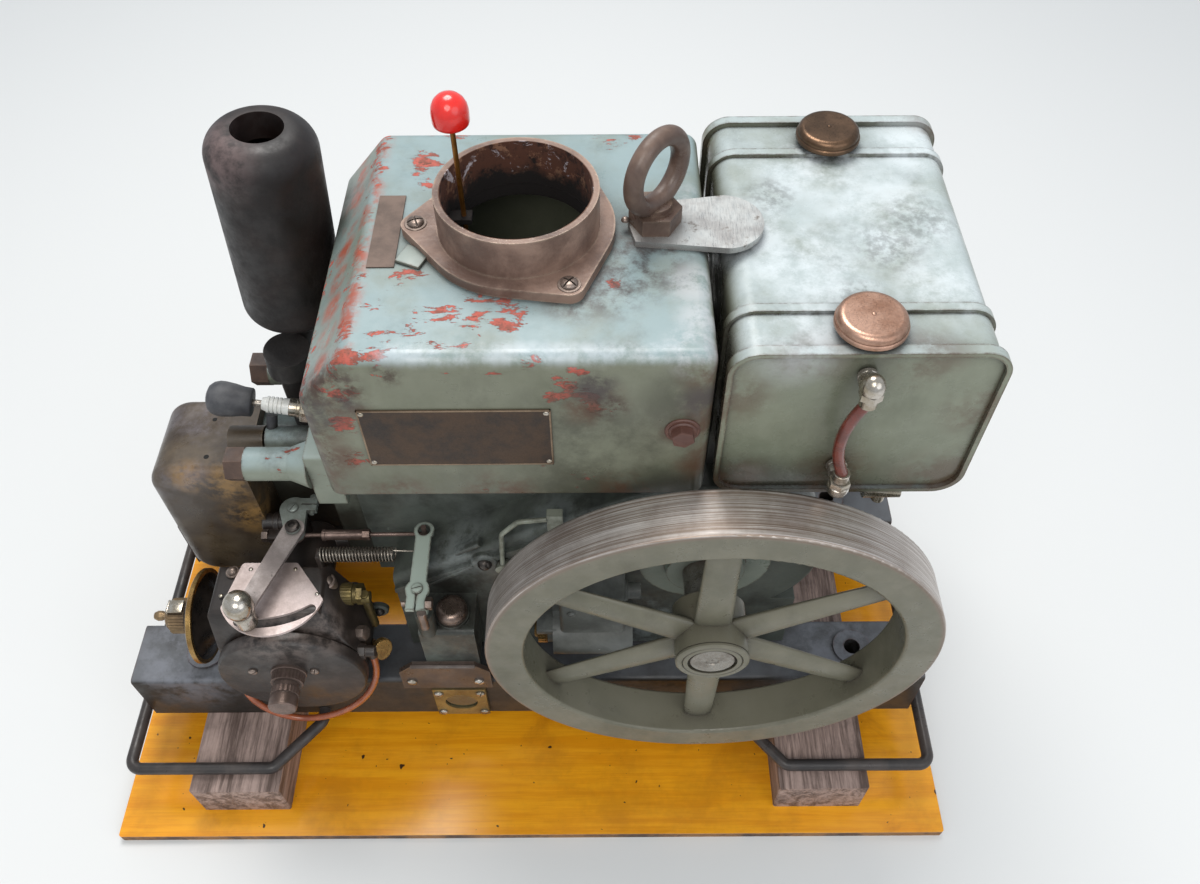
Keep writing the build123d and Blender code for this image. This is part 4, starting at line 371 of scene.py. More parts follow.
wood_grain.links.new(rise(wood_grain, cloud, 0.0, 1.0, 0.62, 0.85), out["Roughness"])
wood_grain.links.new(grain, out["Height"])
print("shader groups", [g.name for g in bpy.data.node_groups])

# %% [markdown]
# ## Finishes
#
# Each finish is one material with its own Principled shader, fed by the shared groups. Paints,
# irons and woods differ only in colours and amounts, so a short function makes each kind.

# %% Material makers
def coordinates(tree):
    return tree.nodes.new("ShaderNodeTexCoord").outputs["Object"]


def close_material(tree, colour, rough, metallic=None, height=None, bump_mm=0.3, **plain):
    inputs = {"Base Color": colour, "Roughness": rough}
    if metallic is not None:
        inputs["Metallic"] = metallic
    if height is not None:
        bump = add(tree, "ShaderNodeBump", {"Height": height, "Distance": bump_mm * MM, "Strength": 0.7})
        inputs["Normal"] = bump.outputs[0]
    inputs.update({name.replace("_", " "): value for name, value in plain.items()})
    shader = add(tree, "ShaderNodeBsdfPrincipled", inputs)
    add(tree, "ShaderNodeOutputMaterial", {"Surface": shader.outputs[0]})


def places_mask(tree, at, places):
    mask = None
    for centre, reach in places:
        one = use_group(tree, spot, {"Vector": at, "Centre": tuple(v * MM for v in centre), "Reach": reach * MM})["Mask"]
        mask = one if mask is None else maths(tree, "MAXIMUM", mask, one)
    return mask


def tinted(tree, at, colour, tints):
    for tint, reach_scale, amount, spots in tints:
        torn = rise(tree, noise(tree, at, reach_scale, 8, 0.72), 0.4, 0.6)
        cover = maths(tree, "MULTIPLY", maths(tree, "MULTIPLY", places_mask(tree, at, spots), torn), amount)
        colour = mix(tree, cover, colour, tint)
    return colour


# Painted shade: a band that darkens the colour towards the bottom, below a ragged line.
def low_shade(tree, at, low, high, amount):
    height = add(tree, "ShaderNodeSeparateXYZ", {"Vector": at}).outputs["Z"]
    ragged = add(tree, "ShaderNodeMapping", {"Vector": at, "Scale": (1, 1, 0.2)}).outputs[0]
    wavy = maths(tree, "ADD", height, maths(tree, "MULTIPLY", noise(tree, ragged, 30, 6, 0.66), 0.05))
    return rise(tree, wavy, low * MM + 0.025, high * MM + 0.025, amount, 0.0)


def paint_finish(name, paint, faded, bleached_and_sky_lit, primer, metal, dirt_and_shade, chips=0.5, edges=1.0, blots=0.4, gloss=0.35,
                 places=(), tints=(), low=None, bump_mm=0.25):
    material, tree = new_material(name)
    at = coordinates(tree)
    values = {"Vector": at, "Paint": paint, "Faded": faded, "Bleached and sky lit": bleached_and_sky_lit, "Primer": primer, "Metal": metal,
              "Dirt and shade": dirt_and_shade, "Chips": chips, "Edges": edges, "Blots": blots, "Gloss": gloss}
    if places:
        values["Place"] = places_mask(tree, at, places)
    made = use_group(tree, worn_paint, values)
    colour = made["Color"]
    # Painted shade: the colour darkens towards the bottom, in the dirt colour.
    if low:
        colour = mix(tree, low_shade(tree, at, *low), colour, dirt_and_shade)
    colour = tinted(tree, at, colour, tints)
    close_material(tree, colour, made["Roughness"], made["Metallic"], made["Height"], bump_mm)
    return material


def iron_finish(name, dark, middle, light, scale=1.0, amount=0.3, edges=0.6, gloss=0.5, bump_mm=0.5, tints=()):
    material, tree = new_material(name)
    at = coordinates(tree)
    made = use_group(tree, old_iron, {"Vector": at, "Dark": dark, "Middle": middle, "Light": light,
                                      "Scale": scale, "Light amount": amount, "Edges": edges, "Gloss": gloss})
    colour = tinted(tree, at, made["Color"], tints)
    close_material(tree, colour, made["Roughness"], made["Metallic"], made["Height"], bump_mm)
    return material


def metal_finish(name, bright, dull, rust, gloss=0.3, rusted=0.3, metallic=0.9, scratch=(1, 1, 1)):
    material, tree = new_material(name)
    at = coordinates(tree)
    cloud = rise(tree, noise(tree, at, 34, 7, 0.68), 0.36, 0.66)
    colour = mix(tree, cloud, bright, dull)
    drawn = add(tree, "ShaderNodeMapping", {"Vector": at, "Scale": scratch}).outputs[0]
    fine = noise(tree, drawn, 900, 3, 0.6)
    colour = mix(tree, rise(tree, fine, 0.3, 0.7, 0.0, 0.25), colour, dull)
    spots = rise(tree, noise(tree, at, 75, 8, 0.74), 0.74 - 0.4 * rusted, 0.86 - 0.4 * rusted)
    # The grime mask adds ambient-occlusion darkening, painted shade in the corners, to the rust spots.
    oil_and_corner_shade = use_group(tree, grime_and_corner_shade, {"Vector": at, "Blots": 0.5 * rusted, "Reach": 0.012})["Mask"]
    stained = maths(tree, "MAXIMUM", spots, oil_and_corner_shade)
    colour = mix(tree, maths(tree, "MULTIPLY", stained, 0.85), colour, rust)
    rough = maths(tree, "ADD", rise(tree, fine, 0.3, 0.7, gloss - 0.08, gloss + 0.12),
                  maths(tree, "MULTIPLY", stained, 0.35), clamp=True)
    shine = maths(tree, "SUBTRACT", metallic, maths(tree, "MULTIPLY", stained, 0.6), clamp=True)
    close_material(tree, colour, rough, shine, fine, 0.06)
    return material


def plain_finish(name, colour, other, scale=40, rough=0.4, bump_mm=0.1, dirt_and_shade=None, **plain):
    material, tree = new_material(name)
    at = coordinates(tree)
    cloud = noise(tree, at, scale, 6, 0.65)
    mixed = mix(tree, rise(tree, cloud, 0.35, 0.68), colour, other)
    # The grime mask darkens the corners with painted shade as well as with dirt.
    if dirt_and_shade is not None:
        oil_and_corner_shade = use_group(tree, grime_and_corner_shade, {"Vector": at, "Blots": 0.5, "Reach": 0.01})["Mask"]
        mixed = mix(tree, oil_and_corner_shade, mixed, dirt_and_shade)
    close_material(tree, mixed, rise(tree, cloud, 0.3, 0.7, rough - 0.06, rough + 0.12), None, cloud, bump_mm, **plain)
    return material


def wood_finish(name, pale, dark, stain, along, stained=0.3, coat=0.0, bump_mm=0.3, rough=None):
    material, tree = new_material(name)
    made = use_group(tree, wood_grain, {"Vector": coordinates(tree), "Pale": pale, "Dark": dark, "Stain": stain,
                                        "Along": along, "Stained": stained})
    close_material(tree, made["Color"], made["Roughness"] if rough is None else rough, None, made["Height"], bump_mm,
                   Coat_Weight=coat, Coat_Roughness=0.12)
    return material


# %% Finishes for every material slot
OIL_DIRT_AND_SHADE = srgb(36, 31, 25)
PRIMER_RED = srgb(170, 72, 56)
RUST_BROWN = srgb(84, 58, 44)
BARE_STEEL = srgb(110, 102, 92)
finishes = {
    "timber": wood_finish("weathered timber", srgb(174, 150, 140), srgb(92, 74, 66), srgb(48, 38, 34),
                          (1, 0.06, 1), 0.6, 0.0, 0.9),
    "dark_iron": iron_finish("oily dark casting", srgb(38, 37, 33), srgb(62, 62, 55), srgb(104, 104, 94), 1.0, 0.32),
    "green_paint": paint_finish("worn grey-green paint", srgb(122, 131, 120), srgb(140, 146, 134), srgb(150, 160, 156),
                                PRIMER_RED, RUST_BROWN, OIL_DIRT_AND_SHADE),
    "rusty_iron": iron_finish("rust-brown iron", srgb(58, 44, 38), srgb(92, 70, 58), srgb(136, 108, 90), 1.0, 0.35),
    "bright_steel": metal_finish("worn steel", srgb(176, 172, 164), srgb(124, 117, 108), srgb(70, 54, 42)),
    "brass": metal_finish("dull brass", srgb(160, 138, 84), srgb(112, 94, 58), srgb(52, 42, 28), 0.34, 0.35, 0.55),
    "copper": metal_finish("browned copper", srgb(196, 158, 138), srgb(150, 112, 92), srgb(66, 48, 38), 0.34, 0.25),
    "black_rubber": plain_finish("grey-black rubber", srgb(58, 58, 62), srgb(84, 84, 86), 60, 0.5, dirt_and_shade=OIL_DIRT_AND_SHADE),
    "white_ceramic": plain_finish("glazed ceramic", srgb(236, 236, 232), srgb(206, 204, 198), 50, 0.16),
    "red_ball": plain_finish("red lacquer", srgb(226, 40, 30), srgb(206, 26, 20), 60, 0.2, Coat_Weight=0.5),
    "lens": plain_finish("oily sight glass", srgb(46, 50, 34), srgb(22, 26, 18), 60, 0.08, Coat_Weight=0.6),
    "red_tube": plain_finish("red-brown fuel tube", srgb(112, 46, 34), srgb(84, 36, 26), 60, 0.24, Coat_Weight=0.4),
    "orange_hose": plain_finish("amber fuel hose", srgb(162, 86, 52), srgb(132, 66, 40), 60, 0.24, Coat_Weight=0.4),
    "magneto_alloy": iron_finish("dull cast alloy", srgb(78, 80, 76), srgb(118, 120, 116), srgb(158, 160, 156), 1.2, 0.35),
    "blank_plate": metal_finish("browned blank plate", srgb(78, 60, 46), srgb(52, 46, 43), srgb(44, 36, 30), 0.36, 0.3, 0.6),
}

# %% Hopper: chips gather where the photograph shows them, with painted shade low on the near side and painted reflections and highlights on the top
SLANT_TOP = [((-100, y, 645), 20) for y in range(-118, 124, 11)]
SLANT_FOOT = [((-134, y, 600), 20) for y in range(-122, 124, 18)]
HOPPER_CHIPS = SLANT_TOP + SLANT_FOOT + [
    ((-12, -85, 645), 58), ((14, -96, 645), 34), ((-42, -99, 645), 34), ((-82, -85, 645), 26), ((-71, -113, 645), 22), ((-59, 78, 645), 28),
    ((-60, 50, 645), 20), ((96, 112, 645), 34), ((-59, -51, 645), 20), ((-24, -124, 645), 38), ((-80, -122, 645), 34),
    ((72, -134, 604), 26), ((50, -134, 617), 24), ((88, -134, 596), 16), ((-25, -134, 636), 22), ((6, -134, 632), 14), ((62, -134, 634), 14), ((96, -134, 634), 12), ((-107, -134, 582), 14),
    ((-104, -134, 537), 20), ((30, -134, 640), 18), ((-100, -134, 612), 20), ((-112, -130, 626), 26), ((-68, -134, 497), 16),
    ((-10, -134, 496), 12), ((-40, 118, 643), 24), ((88, -60, 645), 14)]
HOPPER_GREASE = [((103, -40, 645), 56), ((84, -66, 645), 40), ((60, -74, 645), 34), ((116, -18, 645), 50),
                 ((150, -134, 600), 26), ((-128, -130, 590), 34), ((-106, -132, 612), 30), ((74, -134, 618), 24)]
# Painted reflections: soft pale patches on the glossy top towards its right end.
HOPPER_PAINTED_REFLECTIONS = [((146, -62, 645), 30), ((141, -121, 645), 28), ((150, -95, 645), 28), ((150, 20, 645), 40)]
# Painted highlight: a row of small pale spots along the top's near edge.
EDGE_PAINTED_HIGHLIGHT = [((x, -126, 644), 13) for x in range(-66, 156, 9)]
SLANT_RUST = [((-99, y, 646), 15) for y in range(-120, 126, 10)] + [((-118, y, 624), 20) for y in range(-120, 126, 30)]
HOPPER_SHADE = [((112, -134, 530), 110), ((70, -134, 500), 90), ((60, -134, 570), 70), ((140, -134, 590), 60)]
CORNER_RUST = [((-118, -133, 618), 26), ((-100, -134, 622), 22), ((-132, -132, 596), 26), ((-134, -134, 566), 16),
               ((-128, -134, 536), 14), ((-66, -134, 632), 16), ((84, -134, 596), 20)]
HOPPER_RUST = [((136, -134, 570), 24), ((156, -130, 530), 34), ((156, -134, 580), 34), ((156, -134, 630), 34),
               ((-134, -132, 570), 40), ((-134, -134, 510), 34), ((72, -134, 600), 34), ((-106, -134, 606), 36),
               ((0, -134, 492), 40), ((-80, -134, 492), 34), ((100, -134, 492), 40), ((-116, -134, 540), 26)]
GREASE = srgb(66, 58, 56)
PAINTED_REFLECTION_WHITE = srgb(196, 196, 200)
RUST_STAIN = srgb(84, 60, 44)
SLANT_BROWN = srgb(156, 78, 58)
BURNT = srgb(58, 38, 28)
DEEP_SHADE = srgb(66, 66, 54)
PAINTED_SKY_HIGHLIGHT_WHITE = srgb(196, 202, 208)
own = {}
# Among these tints, the two pale ones on the top are painted reflections and a painted edge highlight, and the deep
# shade one is painted shade.
own["hopper"] = paint_finish(
    "hopper paint", srgb(104, 106, 88), srgb(119, 121, 103), srgb(134, 152, 154), srgb(176, 84, 70), RUST_BROWN, OIL_DIRT_AND_SHADE,
    0.6, 0.9, 0.3, 0.36, HOPPER_CHIPS,
    [(DEEP_SHADE, 9, 0.75, HOPPER_SHADE), (SLANT_BROWN, 46, 0.9, SLANT_RUST), (RUST_STAIN, 30, 0.85, HOPPER_RUST),
     (BURNT, 60, 0.8, CORNER_RUST), (GREASE, 34, 0.9, HOPPER_GREASE), (PAINTED_REFLECTION_WHITE, 46, 0.5, HOPPER_PAINTED_REFLECTIONS),
     (PAINTED_SKY_HIGHLIGHT_WHITE, 30, 0.45, EDGE_PAINTED_HIGHLIGHT)], (496, 548, 0.3))
print("hopper marks", len(HOPPER_CHIPS), len(HOPPER_GREASE), len(HOPPER_PAINTED_REFLECTIONS), len(HOPPER_RUST))

# %% Tank: bleached and scuffed on top, with painted sky reflections there, dark scratches, a browned lip and painted shade low down
# Painted sky reflection: pale white patches on the glossy tank top.
TANK_PAINTED_SKY_REFLECTION = [((230, -40, 641), 70), ((300, 20, 641), 80), ((250, 80, 641), 70), ((190, 0, 641), 50),
              ((320, -60, 641), 50), ((210, -100, 641), 50), ((330, 100, 641), 50)]
TANK_SCRATCHES = [((290, -20, 641), 40), ((318, 10, 641), 40), ((210, 40, 641), 30), ((262, -74, 641), 30)]
TANK_RUST = [((180, -130, 500), 44), ((340, -130, 500), 50), ((172, -130, 600), 40), ((352, -130, 580), 40),
             ((258, -130, 500), 50), ((350, 130, 641), 30), ((166, 138, 641), 40), ((300, -130, 636), 40),
             ((220, -130, 636), 40)]
tank_paint = paint_finish(
    "tank paint", srgb(112, 116, 98), srgb(128, 132, 114), srgb(168, 178, 178), srgb(120, 92, 70), RUST_BROWN, OIL_DIRT_AND_SHADE,
    0.25, 1.0, 0.3, 0.24, (),
    [(RUST_STAIN, 30, 0.55, TANK_RUST), (srgb(224, 230, 234), 14, 0.5, TANK_PAINTED_SKY_REFLECTION), (GREASE, 120, 0.4, TANK_SCRATCHES)],
    (488, 540, 0.4), 0.12)
for node in ("tank_shell", "tank_end_near", "tank_end_far"):
    own[node] = tank_paint
print("tank marks", len(TANK_PAINTED_SKY_REFLECTION), len(TANK_SCRATCHES), len(TANK_RUST))

# %% Irons of the other castings
HEAD_CHIPS = [((-188, -50, 440), 24), ((-205, -56, 440), 30), ((-170, -60, 420), 26), ((-176, -20, 450), 30)]
own["cylinder_head"] = paint_finish(
    "head paint", srgb(112, 118, 104), srgb(132, 138, 124), srgb(146, 162, 162), PRIMER_RED, RUST_BROWN, OIL_DIRT_AND_SHADE,
    0.5, 1.0, 0.5, 0.4, HEAD_CHIPS, [(OIL_DIRT_AND_SHADE, 24, 0.9, [((-200, 10, 390), 70), ((-176, 0, 330), 90)])],
    (300, 420, 0.85))
COVER_WORN = [((-268, -46, 380), 34), ((-256, -46, 330), 40), ((-300, -46, 388), 26)]
# Painted highlight: a pale bluish sheen on the cover's top and bend.
COVER_PAINTED_HIGHLIGHT = [((-330, -20, 392), 60), ((-310, -40, 398), 40), ((-300, 20, 400), 70)]
own["valve_cover"] = iron_finish(
    "browned pressed cover", srgb(56, 45, 35), srgb(92, 79, 62), srgb(130, 114, 94), 0.8, 0.2, 0.7, 0.34, 0.1,
    [(srgb(158, 122, 72), 40, 0.65, COVER_WORN), (srgb(128, 122, 128), 8, 0.6, COVER_PAINTED_HIGHLIGHT)])
own["muffler"] = iron_finish("burnt brown muffler", srgb(19, 12, 11), srgb(36, 25, 22), srgb(76, 58, 50), 1.3, 0.2, 0.4,
                             0.5, 0.25, [(srgb(112, 94, 92), 22, 0.7, [((-206, 40, 680), 44)])])
own["exhaust_elbow"] = iron_finish("black iron elbow", srgb(36, 33, 32), srgb(56, 51, 49), srgb(88, 80, 76), 1.0, 0.2)
own["carburettor_body"] = iron_finish(
    "brown-black drum", srgb(36, 30, 27), srgb(54, 45, 40), srgb(104, 92, 84), 1.1, 0.3, 0.7, 0.4, 0.3,
    [(srgb(112, 100, 94), 60, 0.7, [((-222, -160, 300), 60), ((-170, -150, 296), 40)])])
# The pale grey patches on the crankcase's near face are painted highlights on the oily casting.
own["crankcase"] = iron_finish(
    "green-grey oily casting", srgb(54, 56, 51), srgb(86, 91, 84), srgb(132, 138, 130), 0.9, 0.32, 0.8, 0.42, 0.4,
    [(OIL_DIRT_AND_SHADE, 20, 0.8, [((-60, -88, 240), 120), ((60, -88, 200), 120)]),
     (srgb(128, 134, 132), 30, 0.7, [((-60, -90, 330), 60), ((30, -90, 390), 60), ((140, -90, 190), 90)])])
own["governor_housing"] = own["crankcase"]
own["throttle_arm"] = metal_finish("pale arm", srgb(150, 158, 152), srgb(120, 124, 116), srgb(58, 50, 42), 0.42, 0.3, 0.5)
own["speed_lever"] = metal_finish("grey lever", srgb(168, 158, 154), srgb(132, 122, 118), srgb(60, 50, 44), 0.42, 0.4, 0.6)
own["quadrant_plate"] = metal_finish("bronze-grey plate", srgb(210, 194, 190), srgb(172, 156, 150), srgb(96, 78, 68),
                                     0.42, 0.25, 0.6)
own["link_rod"] = metal_finish("browned rod", srgb(132, 112, 104), srgb(92, 76, 68), srgb(52, 42, 36), 0.36, 0.4, 0.7)
own["governor_lever"] = paint_finish(
    "pale lever paint", srgb(158, 170, 156), srgb(172, 182, 170), srgb(172, 184, 172), srgb(66, 52, 42), RUST_BROWN,
    OIL_DIRT_AND_SHADE, 0.7, 1.0, 0.2)
own["oil_filler_plug"] = metal_finish("browned plug", srgb(150, 132, 122), srgb(110, 92, 82), srgb(64, 52, 44), 0.3, 0.25)
own["inspection_plate"] = iron_finish("greasy plate", srgb(64, 52, 46), srgb(88, 74, 66), srgb(128, 118, 108), 1.2, 0.3,
                                      0.8, 0.36, 0.1)
own["air_horn"] = plain_finish("black horn", srgb(24, 22, 21), srgb(44, 38, 34), 50, 0.28, dirt_and_shade=OIL_DIRT_AND_SHADE)
own["gauge_fittings"] = metal_finish("nickel fitting", srgb(190, 184, 172), srgb(140, 130, 112), srgb(70, 56, 40), 0.2, 0.25)
own["fuel_cock"] = own["gauge_fittings"]
own["tank_cap_far"] = metal_finish("dark bronze cap", srgb(118, 92, 72), srgb(84, 66, 52), srgb(50, 38, 30), 0.34, 0.3)
own["oil_pipe"] = plain_finish("grey-green pipe", srgb(146, 150, 136), srgb(104, 104, 92), 60, 0.36, dirt_and_shade=OIL_DIRT_AND_SHADE)
own["fuel_filter"] = own["exhaust_elbow"]
own["eye_bolt"] = iron_finish("smooth rusty eye", srgb(78, 60, 52), srgb(112, 92, 80), srgb(160, 140, 122), 1.4, 0.35,
                              0.7, 0.36, 0.15)
own["hopper_plug"] = iron_finish("red-brown plug", srgb(84, 54, 46), srgb(116, 76, 64), srgb(140, 104, 88), 1.4, 0.4)
own["instruction_plate"] = metal_finish("lined blank plate", srgb(112, 94, 84), srgb(86, 72, 64), srgb(64, 52, 46),
                                        0.5, 0.3, 0.4, (1, 90, 1))
own["tank_strap"] = metal_finish("scraped strap", srgb(192, 194, 192), srgb(156, 154, 152), srgb(92, 82, 74), 0.34, 0.5,
                                 0.7, (1, 0.1, 1))
own["base_frame"] = paint_finish(
    "oily frame paint", srgb(38, 33, 28), srgb(54, 46, 39), srgb(96, 98, 102), srgb(96, 50, 40), srgb(84, 48, 38),
    OIL_DIRT_AND_SHADE, 0.4, 0.9, 0.6, 0.52, (), [(srgb(128, 130, 138), 26, 0.6, [((-360, -100, 148), 90), ((330, -100, 148), 90)]),
                                       (OIL_DIRT_AND_SHADE, 30, 0.9, [((-230, -110, 148), 90)])])
for side in ("left", "right"):
    own[f"handle_{side}"] = iron_finish(f"handle iron {side}", srgb(44, 40, 39), srgb(70, 62, 58), srgb(112, 102, 96), 1.6,
                                        0.3, 0.3, 0.36, 0.12)
print("own finishes", len(own))


# %% Surfaces that depend on where they lie: collar, flywheels and board
def axis_distance(tree, at, centre, keep):
    away = add(tree, "ShaderNodeVectorMath", {0: at, 1: centre}, operation="SUBTRACT").outputs[0]
    flat = add(tree, "ShaderNodeVectorMath", {0: away, 1: keep}, operation="MULTIPLY").outputs[0]
    return add(tree, "ShaderNodeVectorMath", {0: flat}, operation="LENGTH").outputs["Value"]


COLLAR_CENTRE = (18.7 * MM, -4 * MM, 0)
COLLAR_BORE = 54.7 * MM
collar_material, tree = new_material("collar, scaled inside")
at = coordinates(tree)
outside = use_group(tree, old_iron, {"Vector": at, "Dark": srgb(98, 76, 66), "Middle": srgb(142, 116, 102),
                                     "Light": srgb(186, 168, 150), "Scale": 1.3, "Light amount": 0.25, "Edges": 1.3,
                                     "Gloss": 0.42})
scale_pick = noise(tree, at, 58, 8, 0.74)
scaled = mix(tree, rise(tree, scale_pick, 0.36, 0.5), srgb(24, 14, 13), srgb(84, 50, 36))
scaled = mix(tree, rise(tree, noise(tree, at, 80, 8, 0.72), 0.54, 0.62), scaled, srgb(132, 94, 72))
scaled = mix(tree, rise(tree, noise(tree, at, 42, 8, 0.76, 0.6), 0.57, 0.62), scaled, srgb(190, 180, 184))
# Down the bore the inside turns near black: painted shade inside the collar.
depth = maths(tree, "ADD", add(tree, "ShaderNodeSeparateXYZ", {"Vector": at}).outputs["Z"], maths(tree, "MULTIPLY", scale_pick, 0.05))
scaled = mix(tree, rise(tree, depth, 0.678, 0.694, 1.0, 0.0), scaled, srgb(20, 14, 12))
inside = rise(tree, axis_distance(tree, at, COLLAR_CENTRE, (1, 1, 0)), COLLAR_BORE, COLLAR_BORE + 0.0012, 1.0, 0.0)
colour = mix(tree, inside, outside["Color"], scaled)
rough = maths(tree, "MAXIMUM", outside["Roughness"], maths(tree, "MULTIPLY", inside, 0.9))
height = maths(tree, "ADD", outside["Height"], maths(tree, "MULTIPLY", scale_pick, inside))
close_material(tree, colour, rough, outside["Metallic"], height, 0.9)
own["hopper_collar"] = collar_material

WHEEL_CENTRE = (175 * MM, 0, 319 * MM)
WHEEL_RADIUS = 0.2
wheel_material, tree = new_material("flywheel, bare on its rim")
at = coordinates(tree)
painted = use_group(tree, worn_paint, {"Vector": at, "Paint": srgb(94, 92, 76), "Faded": srgb(114, 110, 94),
                                       "Bleached and sky lit": srgb(114, 110, 94), "Primer": srgb(96, 78, 62), "Metal": BARE_STEEL,
                                       "Dirt and shade": OIL_DIRT_AND_SHADE, "Chips": 0.2, "Edges": 0.5, "Blots": 0.25, "Gloss": 0.34})
out_from_crank = axis_distance(tree, at, WHEEL_CENTRE, (1, 0, 1))
bands = add(tree, "ShaderNodeMapping", {"Vector": at, "Scale": (0.3, 60, 0.3)}).outputs[0]
brushed = noise(tree, bands, 22, 6, 0.7)
steel = mix(tree, rise(tree, brushed, 0.32, 0.68), srgb(134, 114, 98), srgb(226, 220, 216))
steel = mix(tree, rise(tree, noise(tree, at, 14, 6, 0.66), 0.4, 0.68, 0.0, 0.5), steel, srgb(110, 90, 76))
rim = rise(tree, out_from_crank, WHEEL_RADIUS - 0.0026, WHEEL_RADIUS - 0.0008)
colour = mix(tree, rim, painted["Color"], steel)
edge_line = maths(tree, "MULTIPLY", rise(tree, out_from_crank, WHEEL_RADIUS - 0.006, WHEEL_RADIUS - 0.002),
                  maths(tree, "SUBTRACT", 1.0, rim))
colour = mix(tree, maths(tree, "MULTIPLY", edge_line, 0.7), colour, srgb(120, 100, 88))
rough = mix(tree, rim, painted["Roughness"], rise(tree, brushed, 0.3, 0.7, 0.36, 0.5))
close_material(tree, colour, rough, maths(tree, "MULTIPLY", rim, 0.7), maths(tree, "ADD", painted["Height"], brushed), 0.1)
finishes["wheel_paint"] = wheel_material

BOARD_FACE = 0.0115
board_material, tree = new_material("yellow varnished plywood")
at = coordinates(tree)
grained = use_group(tree, wood_grain, {"Vector": at, "Pale": srgb(244, 168, 30), "Dark": srgb(228, 146, 18),
                                       "Stain": srgb(168, 104, 22), "Along": (0.05, 1, 1), "Stained": 0.4})
height_up = add(tree, "ShaderNodeSeparateXYZ", {"Vector": at}).outputs["Z"]
side_on = rise(tree, height_up, BOARD_FACE - 0.0012, BOARD_FACE, 1.0, 0.0)
plies = maths(tree, "SINE", maths(tree, "MULTIPLY", height_up, 2600.0))
ply_colour = mix(tree, rise(tree, plies, -0.4, 0.4), srgb(108, 70, 34), srgb(164, 118, 62))
ply_colour = mix(tree, rise(tree, noise(tree, at, 26, 6, 0.7), 0.42, 0.62), ply_colour, srgb(74, 50, 30))
specks = rise(tree, noise(tree, at, 210, 2, 0.4), 0.765, 0.785)
dots = rise(tree, noise(tree, at, 90, 2, 0.3), 0.755, 0.77)
colour = mix(tree, maths(tree, "MAXIMUM", specks, dots), grained["Color"], srgb(58, 36, 18))
drips = rise(tree, noise(tree, at, 7, 7, 0.7, 0.6), 0.56, 0.7, 0.0, 0.45)
colour = mix(tree, drips, colour, srgb(176, 104, 20))
colour = mix(tree, side_on, colour, ply_colour)
close_material(tree, colour, maths(tree, "ADD", 0.24, maths(tree, "MULTIPLY", side_on, 0.5)), None, grained["Height"], 0.08,
               Coat_Weight=0.16, Coat_Roughness=0.2)
finishes["wood_board"] = board_material
print("collar, flywheel and board surfaces")

# %% Give every CAD piece its finish
slots = {row["node"]: row["material_slot"] for row in frame["record"]["subparts"]}
for node, obj in frame["nodes"].items():
    for place in range(len(obj.material_slots)):
        obj.material_slots[place].material = own.get(node, finishes[slots[node]])
print("finishes", len(finishes) + len(own))

# %% [markdown]
# ## Turned, sawn and knurled fittings
#
# Screws, nuts and knobs are too small for the CAD, but the eye finds them at once. On the real
# engine they are turned on a lathe, so here a profile is spun about Z. A screw's slot is sawn by
# cutting a copy of the domed head with a plane on each side of the slot. Every form is made in
# millimetres about the origin, and its place, direction and roll are applied to the mesh.

# %% Forms for small fittings
FINE = 0.001


def turned(profile, steps=32):
    form = bmesh.new()
    line = [form.verts.new((radius, 0, height)) for radius, height in profile]
    edges = [form.edges.new(pair) for pair in zip(line, line[1:])]
    bmesh.ops.spin(form, geom=line + edges, cent=(0, 0, 0), axis=(0, 0, 1), angle=math.tau, steps=steps, use_merge=True)
    bmesh.ops.remove_doubles(form, verts=form.verts, dist=FINE)
    return form


def join(whole, form):
    mesh = bpy.data.meshes.new("form")
    form.to_mesh(mesh)
    form.free()
    whole.from_mesh(mesh)
    bpy.data.meshes.remove(mesh)
    return whole


def disc(radius, height, edge=0.4, steps=32):
    return turned([(0, 0), (radius, 0), (radius, height - edge), (radius - edge, height), (0, height)], steps)


def dome(radius, height, low=0.0, steps=24):
    bends = [(math.cos(a), math.sin(a)) for a in (math.radians(d) for d in (0, 20, 40, 58, 75, 90))]
    return turned([(0, 0), (radius, 0)] + [(radius * c, low + (height - low) * s) for c, s in bends], steps)


def hexagon(across, height, edge=0.8):
    form = bmesh.new()
    radius = across / 2 / math.cos(math.radians(30))
    bmesh.ops.create_cone(form, cap_ends=True, segments=6, radius1=radius, radius2=radius, depth=height)
    bmesh.ops.translate(form, vec=(0, 0, height / 2), verts=form.verts)
    top = [e for e in form.edges if all(v.co.z > height - FINE for v in e.verts)]
    bmesh.ops.bevel(form, geom=top, offset=edge, offset_type="OFFSET", segments=2, profile=0.5, affect="EDGES", material=-1)
    return form


def knurled(radius, height, teeth=36, deep=0.8, edge=1.0):
    form = bmesh.new()
    bmesh.ops.create_cone(form, cap_ends=True, segments=2 * teeth, radius1=radius, radius2=radius, depth=height)
    bmesh.ops.translate(form, vec=(0, 0, height / 2), verts=form.verts)
    for vert in form.verts:
        if round(math.atan2(vert.co.y, vert.co.x) * teeth / math.pi) % 2:
            vert.co.xy *= 1 - deep / radius
    caps = [f for f in form.faces if len(f.verts) == 2 * teeth]
    rings = bmesh.ops.inset_region(form, faces=caps, thickness=edge, depth=edge * 0.6)
    bmesh.ops.recalc_face_normals(form, faces=form.faces)
    return form


